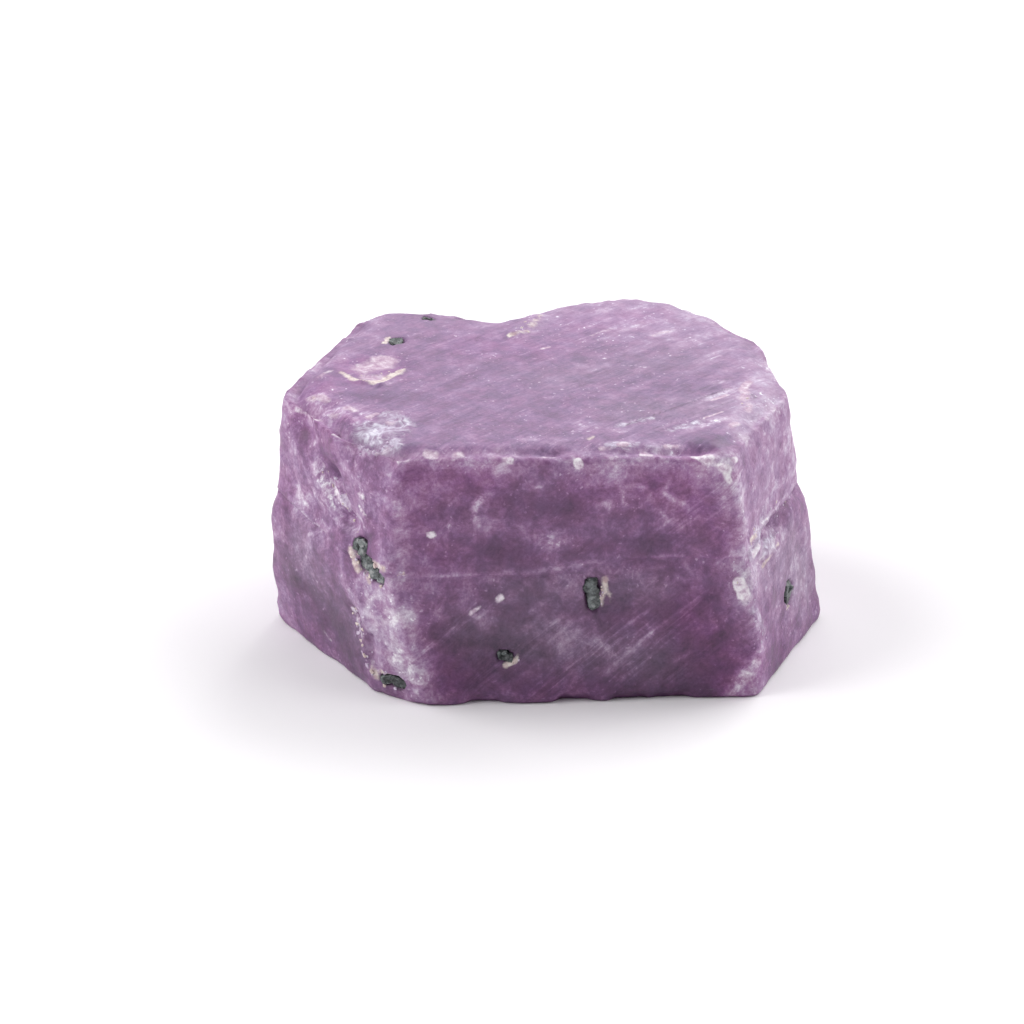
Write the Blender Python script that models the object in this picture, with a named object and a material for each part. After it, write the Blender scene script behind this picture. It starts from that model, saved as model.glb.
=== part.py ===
"""A raw ruby: one stubby hexagonal crystal of corundum, lying on its broad base.

The crystal is two growth slabs, one on the other, parted by a nearly flat seam. Its walls
are six prism faces and one bevelled edge, its top is a flat basal face, and a bite is
missing from the back. Pits in its skin hold grains of a dark mineral.

Every level of the crystal is a ring with the same number of points: the prism's corners,
rounded, with the faces straight between them. The rings are bridged from the base, over
the seam, to the rim and across the top, and the skin is then roughened and pitted.
Metres, +Z up, origin under the middle of the crystal, front face towards -Y.
"""

from typing import NamedTuple

import bmesh
import bpy
import numpy as np
from mathutils import Matrix, Vector

MM = 0.001

# The crystal: 27 mm long, 20 mm deep and 12.8 mm high.
HEIGHT = 12.8 * MM


class Corner(NamedTuple):
    """One vertical edge of the prism, as (x, y) at four levels, and how worn it is. Millimetres.

    rounding is the edge's radius, shoulder is how far the lower slab draws in under the seam,
    and rim is how far the top's edge is worn back.
    """

    top: tuple
    over_seam: tuple
    under_seam: tuple
    base: tuple
    rounding: float
    shoulder: float
    rim: float


# Counter-clockwise from above. Each corner's face runs on to the next corner.
FRONT_LEFT = Corner((-7.0, -10.0), (-7.5, -9.8), (-7.4, -9.9), (-5.7, -10.1), 0.7, 0.05, 0.45)
FRONT_RIGHT = Corner((8.0, -9.8), (8.9, -9.3), (9.1, -9.4), (9.8, -9.1), 0.6, 0.10, 0.45)
RIGHT = Corner((11.2, -2.7), (11.85, -1.8), (12.2, -1.5), (13.35, -0.5), 1.6, 0.30, 0.35)
RIGHT_BACK = Corner((9.9, 4.4), (10.5, 4.6), (10.8, 4.8), (11.3, 5.2), 1.0, 0.40, 0.30)
BACK_RIGHT = Corner((6.3, 9.9), (6.8, 10.0), (7.1, 10.1), (7.3, 9.9), 2.0, 0.45, 0.25)
BACK_LEFT = Corner((-9.0, 7.6), (-9.1, 7.7), (-9.3, 7.9), (-9.0, 7.7), 1.2, 0.40, 0.25)
LEFT = Corner((-12.7, -2.6), (-13.05, -2.3), (-13.5, -2.2), (-13.3, -0.9), 1.2, 0.30, 0.30)
LEFT_BEVEL = Corner((-9.9, -7.3), (-8.8, -8.0), (-9.1, -8.3), (-8.3, -8.8), 0.5, 0.10, 0.40)
CORNERS = (FRONT_LEFT, FRONT_RIGHT, RIGHT, RIGHT_BACK, BACK_RIGHT, BACK_LEFT, LEFT, LEFT_BEVEL)

# Where the seam crosses the walls: (station, height in millimetres). A station is a corner's
# number, plus the share of the face after it.
SEAM = ((0, 6.6), (0.43, 6.55), (0.66, 7.2), (0.8, 7.35), (1, 7.3), (2, 7.6), (3, 7.6))
SEAM += ((4, 7.5), (5, 7.5), (6, 7.5), (7, 6.6), (8, 6.6))

# The worn rim of the top: the share of the upper slab's height it takes, and each ring of it as
# (how far up it, how far worn back, how chipped). RIM_TILT is how steeply the skin faces up there.
RIM_SHARE, RIM_TILT = 0.06, 1.2
RIM_RINGS = ((0.0, 0.0, 0.3), (0.5, 0.3, 0.7), (1.0, 1.0, 1.0))

# The worn edge of the base, and the lower slab's shoulder, as shares of that slab's height.
BASE_INSET, BASE_SHARE = 0.25 * MM, 0.05
SHOULDER_SHARE, SHOULDER_TILT = 0.22, 0.3
SHOULDER_RINGS = (0.90, 0.97, 1.0)

# The seam: half its gap, and its groove's depth, which grows with the shoulder beside it.
SEAM_GAP = 0.14 * MM
GROOVE_DEPTH, GROOVE_PER_SHOULDER = 0.12 * MM, 0.9

# The bite out of the back: where it is deepest, how wide, and how deep at each level.
BITE_X, BITE_WIDTH = -2.5 * MM, 2.7 * MM
BITE_DEPTH_TOP, BITE_DEPTH_OVER_SEAM = 2.2 * MM, 1.4 * MM
BITE_DEPTH_UNDER_SEAM, BITE_DEPTH_BASE = 0.9 * MM, 0.3 * MM
# It shows on skin that faces back: none below the first of these shares, all of it above the second.
BITE_FACING = (0.2, 0.7)

# The look of each material, and the angle that counts as a sharp edge.
RUBY_COLOUR, RUBY_ROUGHNESS = (0.30, 0.16, 0.30), 0.5
DARK_COLOUR, DARK_ROUGHNESS = (0.035, 0.05, 0.045), 0.35
SHARP_ANGLE = np.radians(38)

# Mesh density.
POINTS_PER_CORNER = 4
FACE_SPACING = 0.85 * MM
WALL_RINGS = 9
# Rings across the top: how far out from its middle, and how chipped.
TOP_RINGS = ((0.96, 0.5), (0.89, 0.1), (0.78, 0.0), (0.64, 0.0), (0.50, 0.0), (0.35, 0.0), (0.19, 0.0))

# The skin's own lumps: (size, height, seed) of each layer, and how much of it the sawn top keeps.
LUMPS = ((3.4 * MM, 0.13 * MM, 1), (1.5 * MM, 0.09 * MM, 2))
TOP_LUMP_SHARE = 0.3
# Chips out of the rim: their size and depth, the noise value they start from, and its seed.
CHIP_SIZE, CHIP_DEPTH, CHIP_FROM, CHIP_SEED = 1.3 * MM, 0.6 * MM, 0.1, 5

class Stroke(NamedTuple):
    """A hollow run along a line on the skin, or a raised rib where depth is negative. Millimetres."""

    start: tuple
    end: tuple
    width: float
    depth: float


CORNER_CHIPS = (
    Stroke((-9.0, -8.2, 12.4), (-7.4, -9.6, 12.4), 0.80, 0.35),
    Stroke((-8.4, -7.0, 12.8), (-6.6, -4.6, 12.8), 0.85, 0.22),
    Stroke((-11.6, -4.3, 12.5), (-11.1, -5.1, 11.9), 0.60, 0.25),
    Stroke((7.9, -9.7, 11.8), (7.9, -9.7, 12.4), 0.45, 0.25),
)
TOP_SCAR = (
    Stroke((-9.7, 0.3, 12.8), (-8.5, -0.5, 12.8), 0.65, 0.20),
    Stroke((-8.5, -0.5, 12.8), (-7.4, -1.3, 12.8), 0.45, 0.16),
    Stroke((-10.6, -3.6, 12.7), (-10.4, -1.8, 12.7), 0.55, -0.14),
)
TOP_NODULE = (Stroke((-1.6, 4.3, 12.8), (-0.5, 6.4, 12.7), 0.55, -0.16),)
LEFT_FRACTURE = (
    Stroke((-11.6, -4.6, 11.5), (-10.2, -6.6, 10.1), 0.55, 0.38),
    Stroke((-10.2, -6.6, 10.1), (-9.5, -7.5, 8.4), 0.75, 0.50),
    Stroke((-9.5, -7.5, 8.4), (-8.8, -8.4, 7.5), 0.55, 0.40),
    Stroke((-9.7, -7.5, 11.0), (-8.7, -8.6, 8.9), 0.50, -0.22),
)
LEFT_CRUMBS = (
    Stroke((-9.2, -7.8, 3.8), (-8.5, -8.7, 2.8), 0.35, 0.20),
    Stroke((-8.5, -8.7, 2.8), (-8.2, -8.9, 1.1), 0.40, 0.22),
)
RIGHT_LEDGE = (
    Stroke((10.1, -6.7, 7.1), (9.8, -6.6, 7.3), 0.40, 0.45),
    Stroke((10.5, -5.3, 7.2), (10.3, -5.4, 7.5), 0.40, 0.40),
    Stroke((9.2, -8.4, 7.9), (9.9, -6.8, 7.9), 0.45, 0.28),
    Stroke((10.9, -4.0, 6.9), (11.9, -2.0, 6.9), 0.45, -0.12),
)
BASE_SCALLOPS = (
    Stroke((2.7, -9.7, 0.0), (3.3, -9.7, 0.0), 0.40, 0.45),
    Stroke((4.6, -9.5, 0.0), (6.0, -9.5, 0.0), 0.40, 0.40),
    Stroke((7.0, -9.4, 0.0), (7.9, -9.3, 0.0), 0.35, 0.40),
    Stroke((-12.4, -2.6, 0.0), (-11.4, -4.4, 0.0), 0.50, 0.40),
)
BACK_BREAK = (
    Stroke((-5.2, 6.6, 12.2), (-3.6, 6.4, 9.4), 0.65, 0.30),
    Stroke((-2.9, 6.8, 11.6), (-0.2, 7.2, 10.2), 0.60, 0.32),
    Stroke((0.9, 8.6, 11.2), (2.2, 9.3, 8.6), 0.60, 0.28),
    Stroke((-3.8, 7.9, 6.2), (-0.8, 8.4, 4.6), 0.80, 0.30),
    Stroke((6.6, 9.6, 12.4), (7.7, 8.6, 11.6), 0.60, 0.30),
    Stroke((-8.8, 7.2, 12.4), (-8.0, 7.4, 11.8), 0.50, 0.28),
    Stroke((8.6, 7.2, 3.0), (9.7, 6.3, 1.4), 0.70, 0.30),
)
STROKES = (
    *CORNER_CHIPS,
    *TOP_SCAR,
    *TOP_NODULE,
    *LEFT_FRACTURE,
    *LEFT_CRUMBS,
    *RIGHT_LEDGE,
    *BASE_SCALLOPS,
    *BACK_BREAK,
)


class Grain(NamedTuple):
    """A grain of dark mineral in its pit, in millimetres.

    half_size is across, up the wall (or back across the top), and into the crystal.
    """

    place: tuple
    facing: tuple
    half_size: tuple


GRAINS = (
    Grain((-7.36, 3.36, 12.8), (0, 0, 1), (0.42, 0.46, 0.30)),
    Grain((-5.93, 6.45, 12.75), (0, 0.3, 1), (0.36, 0.26, 0.25)),
    Grain((-4.41, 6.70, 12.55), (0, 0.8, 1), (0.20, 0.20, 0.20)),
    Grain((-8.80, -8.20, 7.55), (-0.75, -0.65, 0.1), (0.34, 0.40, 0.32)),
    Grain((-8.15, -8.90, 6.10), (-0.6, -0.8, 0), (0.34, 0.38, 0.32)),
    Grain((-7.30, -9.35, 0.95), (-0.45, -0.9, 0), (0.72, 0.36, 0.34)),
    Grain((-2.12, -9.74, 2.48), (0, -1, 0), (0.40, 0.30, 0.30)),
    Grain((1.86, -9.57, 5.60), (0, -1, 0), (0.40, 0.88, 0.34)),
    Grain((11.31, -4.79, 3.32), (0.91, -0.4, 0), (0.52, 0.56, 0.34)),
)
# A pit is this much wider than its grain, and the grain lies this deep under the skin.
PIT_ROOM = 1.18
GRAIN_SUNK = 0.14 * MM
# How unevenly the pits and grains are shaped.
PIT_UNEVEN, GRAIN_UNEVEN = 0.14, 0.22
GRAIN_POINTS = 16
GRAIN_SEED = 7


def lattice_noise(points, size, seed):
    """Smooth noise from -1 to 1: random values at the corners of a cubic lattice, blended between."""
    scaled = points / size
    cell = np.floor(scaled).astype(np.int64)
    share = scaled - cell
    share = share * share * (3 - 2 * share)
    total = np.zeros(len(scaled))
    for offset in np.ndindex(2, 2, 2):
        mixed = (cell + offset) @ np.array([73856093, 19349663, 83492791]) + seed * 40503
        mixed = (mixed ^ (mixed >> 13)) * 1274126177 & 0x7FFFFFFF
        mixed = (mixed ^ (mixed >> 16)) & 0xFFFF
        weight = np.where(offset, share, 1 - share).prod(axis=1)
        total += weight * (mixed / 32767.5 - 1)
    return total


def column(field):
    """One field of every corner, in metres."""
    return np.array([getattr(corner, field) for corner in CORNERS]) * MM


def along_corners(values, stations):
    """A value given at each corner, read at every point of a ring."""
    return np.interp(stations, np.arange(len(CORNERS) + 1), [*values, values[0]])


def face_steps():
    """How many points each face takes, from its length at the base."""
    base = column("base")
    lengths = np.linalg.norm(np.roll(base, -1, axis=0) - base, axis=1)
    return np.maximum(2, np.round(lengths / FACE_SPACING)).astype(int)


def ring_outline(places):
    """The rounded polygon through these corners: its points, their outward directions, and their stations.

    A point's station is the number of its corner, plus how far along the face after it is.
    """
    rounding = column("rounding")[:, None]
    along = np.roll(places, -1, axis=0) - places
    along /= np.linalg.norm(along, axis=1)[:, None]
    normals = np.column_stack([along[:, 1], -along[:, 0]])
    before = np.roll(normals, 1, axis=0)
    centres = places - rounding * (normals + before) / (1 + (normals * before).sum(axis=1))[:, None]
    angles = np.arctan2(normals[:, 1], normals[:, 0])
    starts = np.roll(angles, 1)
    turns = (angles - starts + np.pi) % (2 * np.pi) - np.pi
    points, outward, stations = [], [], []
    for index, steps in enumerate(face_steps()):
        angle = starts[index] + turns[index] * np.linspace(0, 1, POINTS_PER_CORNER)
        directions = np.column_stack([np.cos(angle), np.sin(angle)])
        points.append(centres[index] + rounding[index] * directions)
        outward.append(directions)
        stations.append(np.full(POINTS_PER_CORNER, float(index)))
        after = (index + 1) % len(CORNERS)
        share = np.arange(1, steps)[:, None] / steps
        first = centres[index] + rounding[index] * normals[index]
        last = centres[after] + rounding[after] * normals[index]
        points.append(first + (last - first) * share)
        outward.append(np.repeat(normals[index : index + 1], steps - 1, axis=0))
        stations.append(index + share[:, 0])
    return np.concatenate(points), np.concatenate(outward), np.concatenate(stations)


def bite_at(points, outward, depth):
    """How far the bite draws in each point of the back."""
    faces_back = np.interp(outward[:, 1], BITE_FACING, (0, 1))
    return depth * faces_back * np.exp(-(((points[:, 0] - BITE_X) / BITE_WIDTH) ** 2))


class Ring(NamedTuple):
    """One level of the crystal: its points, the way the skin faces at each, and how chipped it gets."""

    points: np.ndarray
    directions: np.ndarray
    chipped: float


def seam_at(stations):
    return np.interp(stations, *np.array(SEAM).T) * MM


def slab_ring(fields, share, heights, draw_in, bite, tilt=0.0, chipped=0.0):
    """One level of a slab, share of the way from its first outline to its second.

    heights are two functions of station, and bite two depths, one for each outline. draw_in is
    given at each corner. tilt is how steeply the skin faces up, in radians.
    """
    below, above = (column(field) for field in fields)
    points, outward, stations = ring_outline(below * (1 - share) + above * share)
    bite_depth = bite[0] * (1 - share) + bite[1] * share
    inward = along_corners(draw_in, stations) + bite_at(points, outward, bite_depth)
    low, high = (height(stations) for height in heights)
    flat = points - inward[:, None] * outward
    placed = np.column_stack([flat, low * (1 - share) + high * share])
    faces = np.column_stack([outward * np.cos(tilt), np.full(len(outward), np.sin(tilt))])
    return Ring(placed, faces, chipped)


def lower_rings():
    """The lower slab, from the worn edge of its base to its shoulder under the seam."""
    fields = ("base", "under_seam")
    heights = (np.zeros_like, lambda stations: seam_at(stations) - SEAM_GAP)
    bite = (BITE_DEPTH_BASE, BITE_DEPTH_UNDER_SEAM)
    worn = np.full(len(CORNERS), BASE_INSET)
    rings = [slab_ring(fields, 0.0, heights, worn, bite)]
    shares = [*np.linspace(BASE_SHARE, 1 - SHOULDER_SHARE, WALL_RINGS), *SHOULDER_RINGS]
    for share in shares:
        near_seam = max(0.0, (share - 1) / SHOULDER_SHARE + 1)
        drawn = near_seam**2 * column("shoulder")
        rings.append(slab_ring(fields, share, heights, drawn, bite, tilt=near_seam * SHOULDER_TILT))
    return rings


def groove_ring():
    """The bottom of the seam's groove, inside both slabs."""
    drawn = GROOVE_DEPTH + GROOVE_PER_SHOULDER * column("shoulder")
    bite = (BITE_DEPTH_UNDER_SEAM, BITE_DEPTH_OVER_SEAM)
    return slab_ring(("under_seam", "over_seam"), 0.5, (seam_at, seam_at), drawn, bite)


def upper_rings():
    """The upper slab, from just over the seam to the worn rim of the top."""
    fields = ("over_seam", "top")
    heights = (lambda stations: seam_at(stations) + SEAM_GAP, lambda s: np.full_like(s, HEIGHT))
    bite = (BITE_DEPTH_OVER_SEAM, BITE_DEPTH_TOP)
    steps = [(share, 0.0, 0.0) for share in np.linspace(0, 1 - RIM_SHARE, WALL_RINGS)[:-1]]
    steps += [(1 - RIM_SHARE * (1 - up), worn, chipped) for up, worn, chipped in RIM_RINGS]
    return [
        slab_ring(fields, share, heights, worn * column("rim"), bite, worn * RIM_TILT, chipped)
        for share, worn, chipped in steps
    ]


def top_rings(rim):
    """The flat top, in rings that shrink from the rim to one point in the middle."""
    middle = rim.mean(axis=0)
    up = np.tile([0.0, 0.0, 1.0], (len(rim), 1))
    return [Ring(middle + (rim - middle) * share, up, chipped) for share, chipped in TOP_RINGS], middle


def stroke_depth(points, stroke):
    """How deep a stroke presses in at each point."""
    start, end = np.array(stroke.start) * MM, np.array(stroke.end) * MM
    along = end - start
    share = np.clip((points - start) @ along / (along @ along), 0, 1)
    away = np.linalg.norm(points - start - share[:, None] * along, axis=1)
    return stroke.depth * MM * np.exp(-((away / (stroke.width * MM)) ** 2))


def relief(ring):
    """How far the skin stands out at each point, or in where it is negative."""
    wall = TOP_LUMP_SHARE + (1 - TOP_LUMP_SHARE) * (1 - ring.directions[:, 2] ** 2)
    out = sum(height * lattice_noise(ring.points, size, seed) for size, height, seed in LUMPS) * wall
    chips = np.clip(lattice_noise(ring.points, CHIP_SIZE, CHIP_SEED) - CHIP_FROM, 0, 1)
    hollows = sum(stroke_depth(ring.points, stroke) for stroke in STROKES)
    return out - CHIP_DEPTH * chips * ring.chipped - hollows


def loft(rings, middle):
    """Bridges the rings into one closed body, with a flat base and a fan over the last ring."""
    made = bmesh.new()
    loops = []
    for ring in rings:
        placed = ring.points + relief(ring)[:, None] * ring.directions
        loops.append([made.verts.new(place) for place in placed])
    count = len(loops[0])
    for below, above in zip(loops, loops[1:]):
        for i in range(count):
            j = (i + 1) % count
            made.faces.new((below[i], below[j], above[j], above[i]))
    made.faces.new(reversed(loops[0]))
    peak = made.verts.new(middle)
    for i in range(count):
        made.faces.new((loops[-1][i], loops[-1][(i + 1) % count], peak))
    made.normal_update()
    return made


def material(name, colour, roughness):
    made = bpy.data.materials.new(name)
    made.use_nodes = True
    surface = made.node_tree.nodes["Principled BSDF"]
    surface.inputs["Base Color"].default_value = (*colour, 1.0)
    surface.inputs["Roughness"].default_value = roughness
    surface.inputs["Metallic"].default_value = 0.0
    return made


def placed_object(name, made, stuff):
    """An object from a bmesh, with one material and smooth shading but for its sharp edges."""
    mesh = bpy.data.meshes.new(name)
    made.to_mesh(mesh)
    made.free()
    mesh.materials.append(stuff)
    mesh.shade_smooth()
    mesh.set_sharp_from_angle(angle=SHARP_ANGLE)
    holder = bpy.data.objects.new(name, mesh)
    bpy.context.collection.objects.link(holder)
    return holder


def stance(grain, sunk):
    """Where a grain sits and how it is turned: its own +Z looks out of the skin."""
    outward = Vector(grain.facing).normalized()
    turn = outward.to_track_quat("Z", "Y").to_matrix().to_4x4()
    return Matrix.Translation(Vector(grain.place) * MM - outward * sunk) @ turn


def pit_hollows(rng):
    """The hollows that the grains sit in: uneven balls, half out of the skin."""
    made = bmesh.new()
    for grain in GRAINS:
        ball = bmesh.ops.create_icosphere(made, subdivisions=2, radius=1.0)["verts"]
        swell = 1 + PIT_UNEVEN * rng.uniform(-1, 1, len(ball))
        for vert, size in zip(ball, swell):
            room = Vector(grain.half_size) * PIT_ROOM * MM * size
            vert.co = Vector(a * b for a, b in zip(vert.co, room))
        bmesh.ops.transform(made, matrix=stance(grain, 0.0), verts=ball)
    return placed_object("pit_hollows", made, dark_mineral())


def mineral_grains(rng):
    """The grains: blocky crystals, each the hull of points strewn over a rounded box."""
    made = bmesh.new()
    for grain in GRAINS:
        strewn = rng.uniform(-1, 1, (GRAIN_POINTS, 3))
        strewn /= np.abs(strewn).max(axis=1)[:, None]
        strewn /= 1 + GRAIN_UNEVEN * rng.uniform(0, 1, (GRAIN_POINTS, 1))
        corners = [made.verts.new(place) for place in strewn * np.array(grain.half_size) * MM]
        hull = bmesh.ops.convex_hull(made, input=corners)
        inside = {*hull["geom_interior"], *hull["geom_unused"]}.intersection(corners)
        bmesh.ops.delete(made, geom=list(inside), context="VERTS")
        kept = [vert for vert in corners if vert.is_valid]
        middle = GRAIN_SUNK + grain.half_size[2] * MM
        bmesh.ops.transform(made, matrix=stance(grain, middle), verts=kept)
    bmesh.ops.recalc_face_normals(made, faces=made.faces)
    return placed_object("mineral_grains", made, dark_mineral())


def join_by(crystal, helper, operation):
    """Works a hidden helper into the crystal with an exact Boolean."""
    helper.hide_render = True
    helper.display_type = "WIRE"
    boolean = crystal.modifiers.new(helper.name, "BOOLEAN")
    boolean.operation = operation
    boolean.solver = "EXACT"
    boolean.object = helper


def ruby():
    return material("ruby", RUBY_COLOUR, RUBY_ROUGHNESS)


def dark_mineral():
    return material("dark_mineral", DARK_COLOUR, DARK_ROUGHNESS)


def build_crystal():
    lower, upper = lower_rings(), upper_rings()
    across, middle = top_rings(upper[-1].points)
    made = loft([*lower, groove_ring(), *upper, *across], middle)
    crystal = placed_object("ruby_crystal", made, ruby())
    rng = np.random.default_rng(GRAIN_SEED)
    join_by(crystal, pit_hollows(rng), "DIFFERENCE")
    join_by(crystal, mineral_grains(rng), "UNION")
    return crystal


def main():
    for old in list(bpy.data.objects):
        bpy.data.objects.remove(old)
    build_crystal()


main()
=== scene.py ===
"""A raw ruby crystal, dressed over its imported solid: the grown skin, the dark grains sunk in it,
the pale crumbs on its breaks, and the pale table that it lies on under soft lights.
"""

import bpy
import numpy as np
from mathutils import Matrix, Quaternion, Vector


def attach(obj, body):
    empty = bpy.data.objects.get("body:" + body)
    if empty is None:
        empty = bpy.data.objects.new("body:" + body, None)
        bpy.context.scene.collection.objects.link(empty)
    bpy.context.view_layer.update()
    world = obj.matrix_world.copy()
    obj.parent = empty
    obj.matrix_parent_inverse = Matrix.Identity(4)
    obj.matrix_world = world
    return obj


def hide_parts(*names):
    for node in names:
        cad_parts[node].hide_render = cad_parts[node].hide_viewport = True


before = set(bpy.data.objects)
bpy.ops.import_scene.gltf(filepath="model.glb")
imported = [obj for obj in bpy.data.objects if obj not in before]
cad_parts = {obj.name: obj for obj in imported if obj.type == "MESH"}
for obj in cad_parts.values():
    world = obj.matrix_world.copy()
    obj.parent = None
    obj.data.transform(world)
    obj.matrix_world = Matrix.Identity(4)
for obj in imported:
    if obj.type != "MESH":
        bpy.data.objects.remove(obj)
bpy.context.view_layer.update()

# ------------------------------------------------------------------------------------------
# The crystal. One grown piece of corundum: two slabs of a hexagonal prism, parted by a seam,
# with a bite out of its back. Its top was sawn flat. Its walls are natural faces, worn along
# their edges, broken at the left, and pitted where grains of another mineral sit.
# ------------------------------------------------------------------------------------------

# All sizes here are millimetres. MM takes them to the frame's metres.
MM = 0.001
HEIGHT = 12.8

# The prism's corners, counter-clockwise from above: (x, y) at the top, over the seam, under it
# and at the base, then the edge's radius, the shoulder under the seam, and how far the rim is
# worn inwards and down.
CORNERS = np.array(
    [
        (-7.0, -10.0, -7.5, -9.8, -7.4, -9.9, -5.7, -10.1, 0.8, 0.05, 0.48, 0.26),
        (8.0, -9.8, 8.9, -9.3, 9.1, -9.4, 9.8, -9.1, 0.7, 0.10, 0.48, 0.24),
        (11.2, -2.7, 11.85, -1.8, 12.2, -1.5, 13.35, -0.5, 2.2, 0.30, 0.35, 0.26),
        (9.9, 4.4, 10.5, 4.6, 10.8, 4.8, 11.3, 5.2, 1.4, 0.40, 0.35, 0.20),
        (6.3, 9.9, 6.8, 10.0, 7.1, 10.1, 7.3, 9.9, 2.0, 0.45, 0.30, 0.16),
        (-9.0, 7.6, -9.1, 7.7, -9.3, 7.9, -9.0, 7.7, 1.4, 0.40, 0.30, 0.20),
        (-12.7, -2.6, -13.05, -2.3, -13.5, -2.2, -13.3, -0.9, 1.4, 0.30, 0.55, 0.50),
        (-9.9, -7.3, -8.8, -8.0, -9.1, -8.3, -8.3, -8.8, 0.7, 0.10, 0.55, 0.42),
    ]
)
TOP, OVER_SEAM, UNDER_SEAM, BASE = (CORNERS[:, i : i + 2] for i in (0, 2, 4, 6))
ROUNDING, SHOULDER, RIM, RIM_DROP = CORNERS[:, 8:].T

# Where the seam crosses the walls: stations (a corner's number, plus the share of the face
# after it) and heights. It is nearly healed across the front, and its gap opens round the sides.
SEAM_STATIONS = (0, 0.43, 0.66, 0.8, 1, 2, 3, 4, 5, 6, 7, 8)
SEAM_HEIGHTS = (6.6, 6.55, 7.2, 7.35, 7.3, 7.6, 7.6, 7.5, 7.5, 7.5, 6.6, 6.6)
OPEN_STATIONS = (0, 0.9, 1.1, 1.5, 2.0, 2.4, 5.6, 6.0, 6.4, 7, 8)
OPENNESS = (0.0, 0.0, 0.15, 0.35, 0.7, 1.0, 1.0, 0.7, 0.15, 0.0, 0.0)
# Half the gap's height, the share of it that a healed stretch keeps, and its rings as shares of it.
SEAM_GAP, HEALED_GAP, SEAM_RINGS = 0.14, 0.6, (-0.7, -0.4, 0.0, 0.4, 0.7)
# The groove's depth, and the share of the shoulder's wear that it keeps.
GROOVE_DEPTH, GROOVE_PER_SHOULDER = 0.12, 0.9

# How each slab is worn. A share is of the slab's height, and a tilt is the skin's lean in radians.
SHOULDER_SHARE, SHOULDER_TILT, HEALED_SHARE = 0.22, 0.3, 0.30
BASE_INSET, BASE_SHARE = 0.16, 0.05
RIM_SHARE, RIM_TILT, RIM_POWER = 0.10, 1.2, 2.0
WALL_CHIPPED = (0.80, 1 - RIM_SHARE, 1 - RIM_SHARE / 2, 1), (0, 0.35, 0.75, 1)

# How the top's border is worn, by how far out from its middle: chipped, dropped and leaning.
TOP_CHIPPED = (0.78, 0.89, 0.96, 1), (0, 0.1, 0.5, 1)
DROP_FROM, LEAN_FROM = 0.925, 0.955

# The bite out of the back, by level from the base to the top.
BITE_X, BITE_WIDTH, BITE_FACING = -2.5, 2.7, (0.2, 0.7)
BITE_DEPTHS = np.array([0.3, 0.9, 1.4, 1.75])

# The mesh: points round the crystal (four times the cells across its top), rings in each slab
# and its worn edge, and rings across the base.
CELLS = 150
LOWER_ROWS, UPPER_ROWS, EDGE_ROWS, RIM_ROWS = 48, 36, 3, 6
BASE_RINGS = (0.985, 0.955, 0.91, 0.84, 0.74, 0.60, 0.44, 0.27, 0.12)
BASE_GRIT, BASE_GRIT_SIZE, BASE_GRIT_SEED = 0.03, 0.9, 51

# Layers of roughness: (size, height, seed). LUMPS are the solid's own. The sawn top keeps a share
# of the lumps and of the roughness. Chips: (size, depth, how high the noise starts them, seed).
LUMPS = ((3.4, 0.13, 1), (1.5, 0.09, 2))
ROUGHNESS_LAYERS = ((0.80, 0.035, 11), (0.38, 0.020, 12))
SAWN_SHARE, SAWN_ROUGH_SHARE = 0.3, 0.25
CHIP_LAYERS = ((1.3, 0.38, 0.1, 5), (0.55, 0.18, 0.2, 21))
EDGE_REACH, EDGE_LAYERS = 0.8, ((0.90, 0.045, 25), (0.42, 0.045, 26))
CRUMBLE_LAYERS = ((0.60, 0.07, 31), (0.33, 0.06, 32))
# The saw's lines: their angle, height, the noise's sizes along, across and down, and its seed.
SAW_ANGLE, SAW_HEIGHT, SAW_SIZES, SAW_SEED = np.radians(44), 0.010, (3.2, 0.30, 3.0), 41

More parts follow.
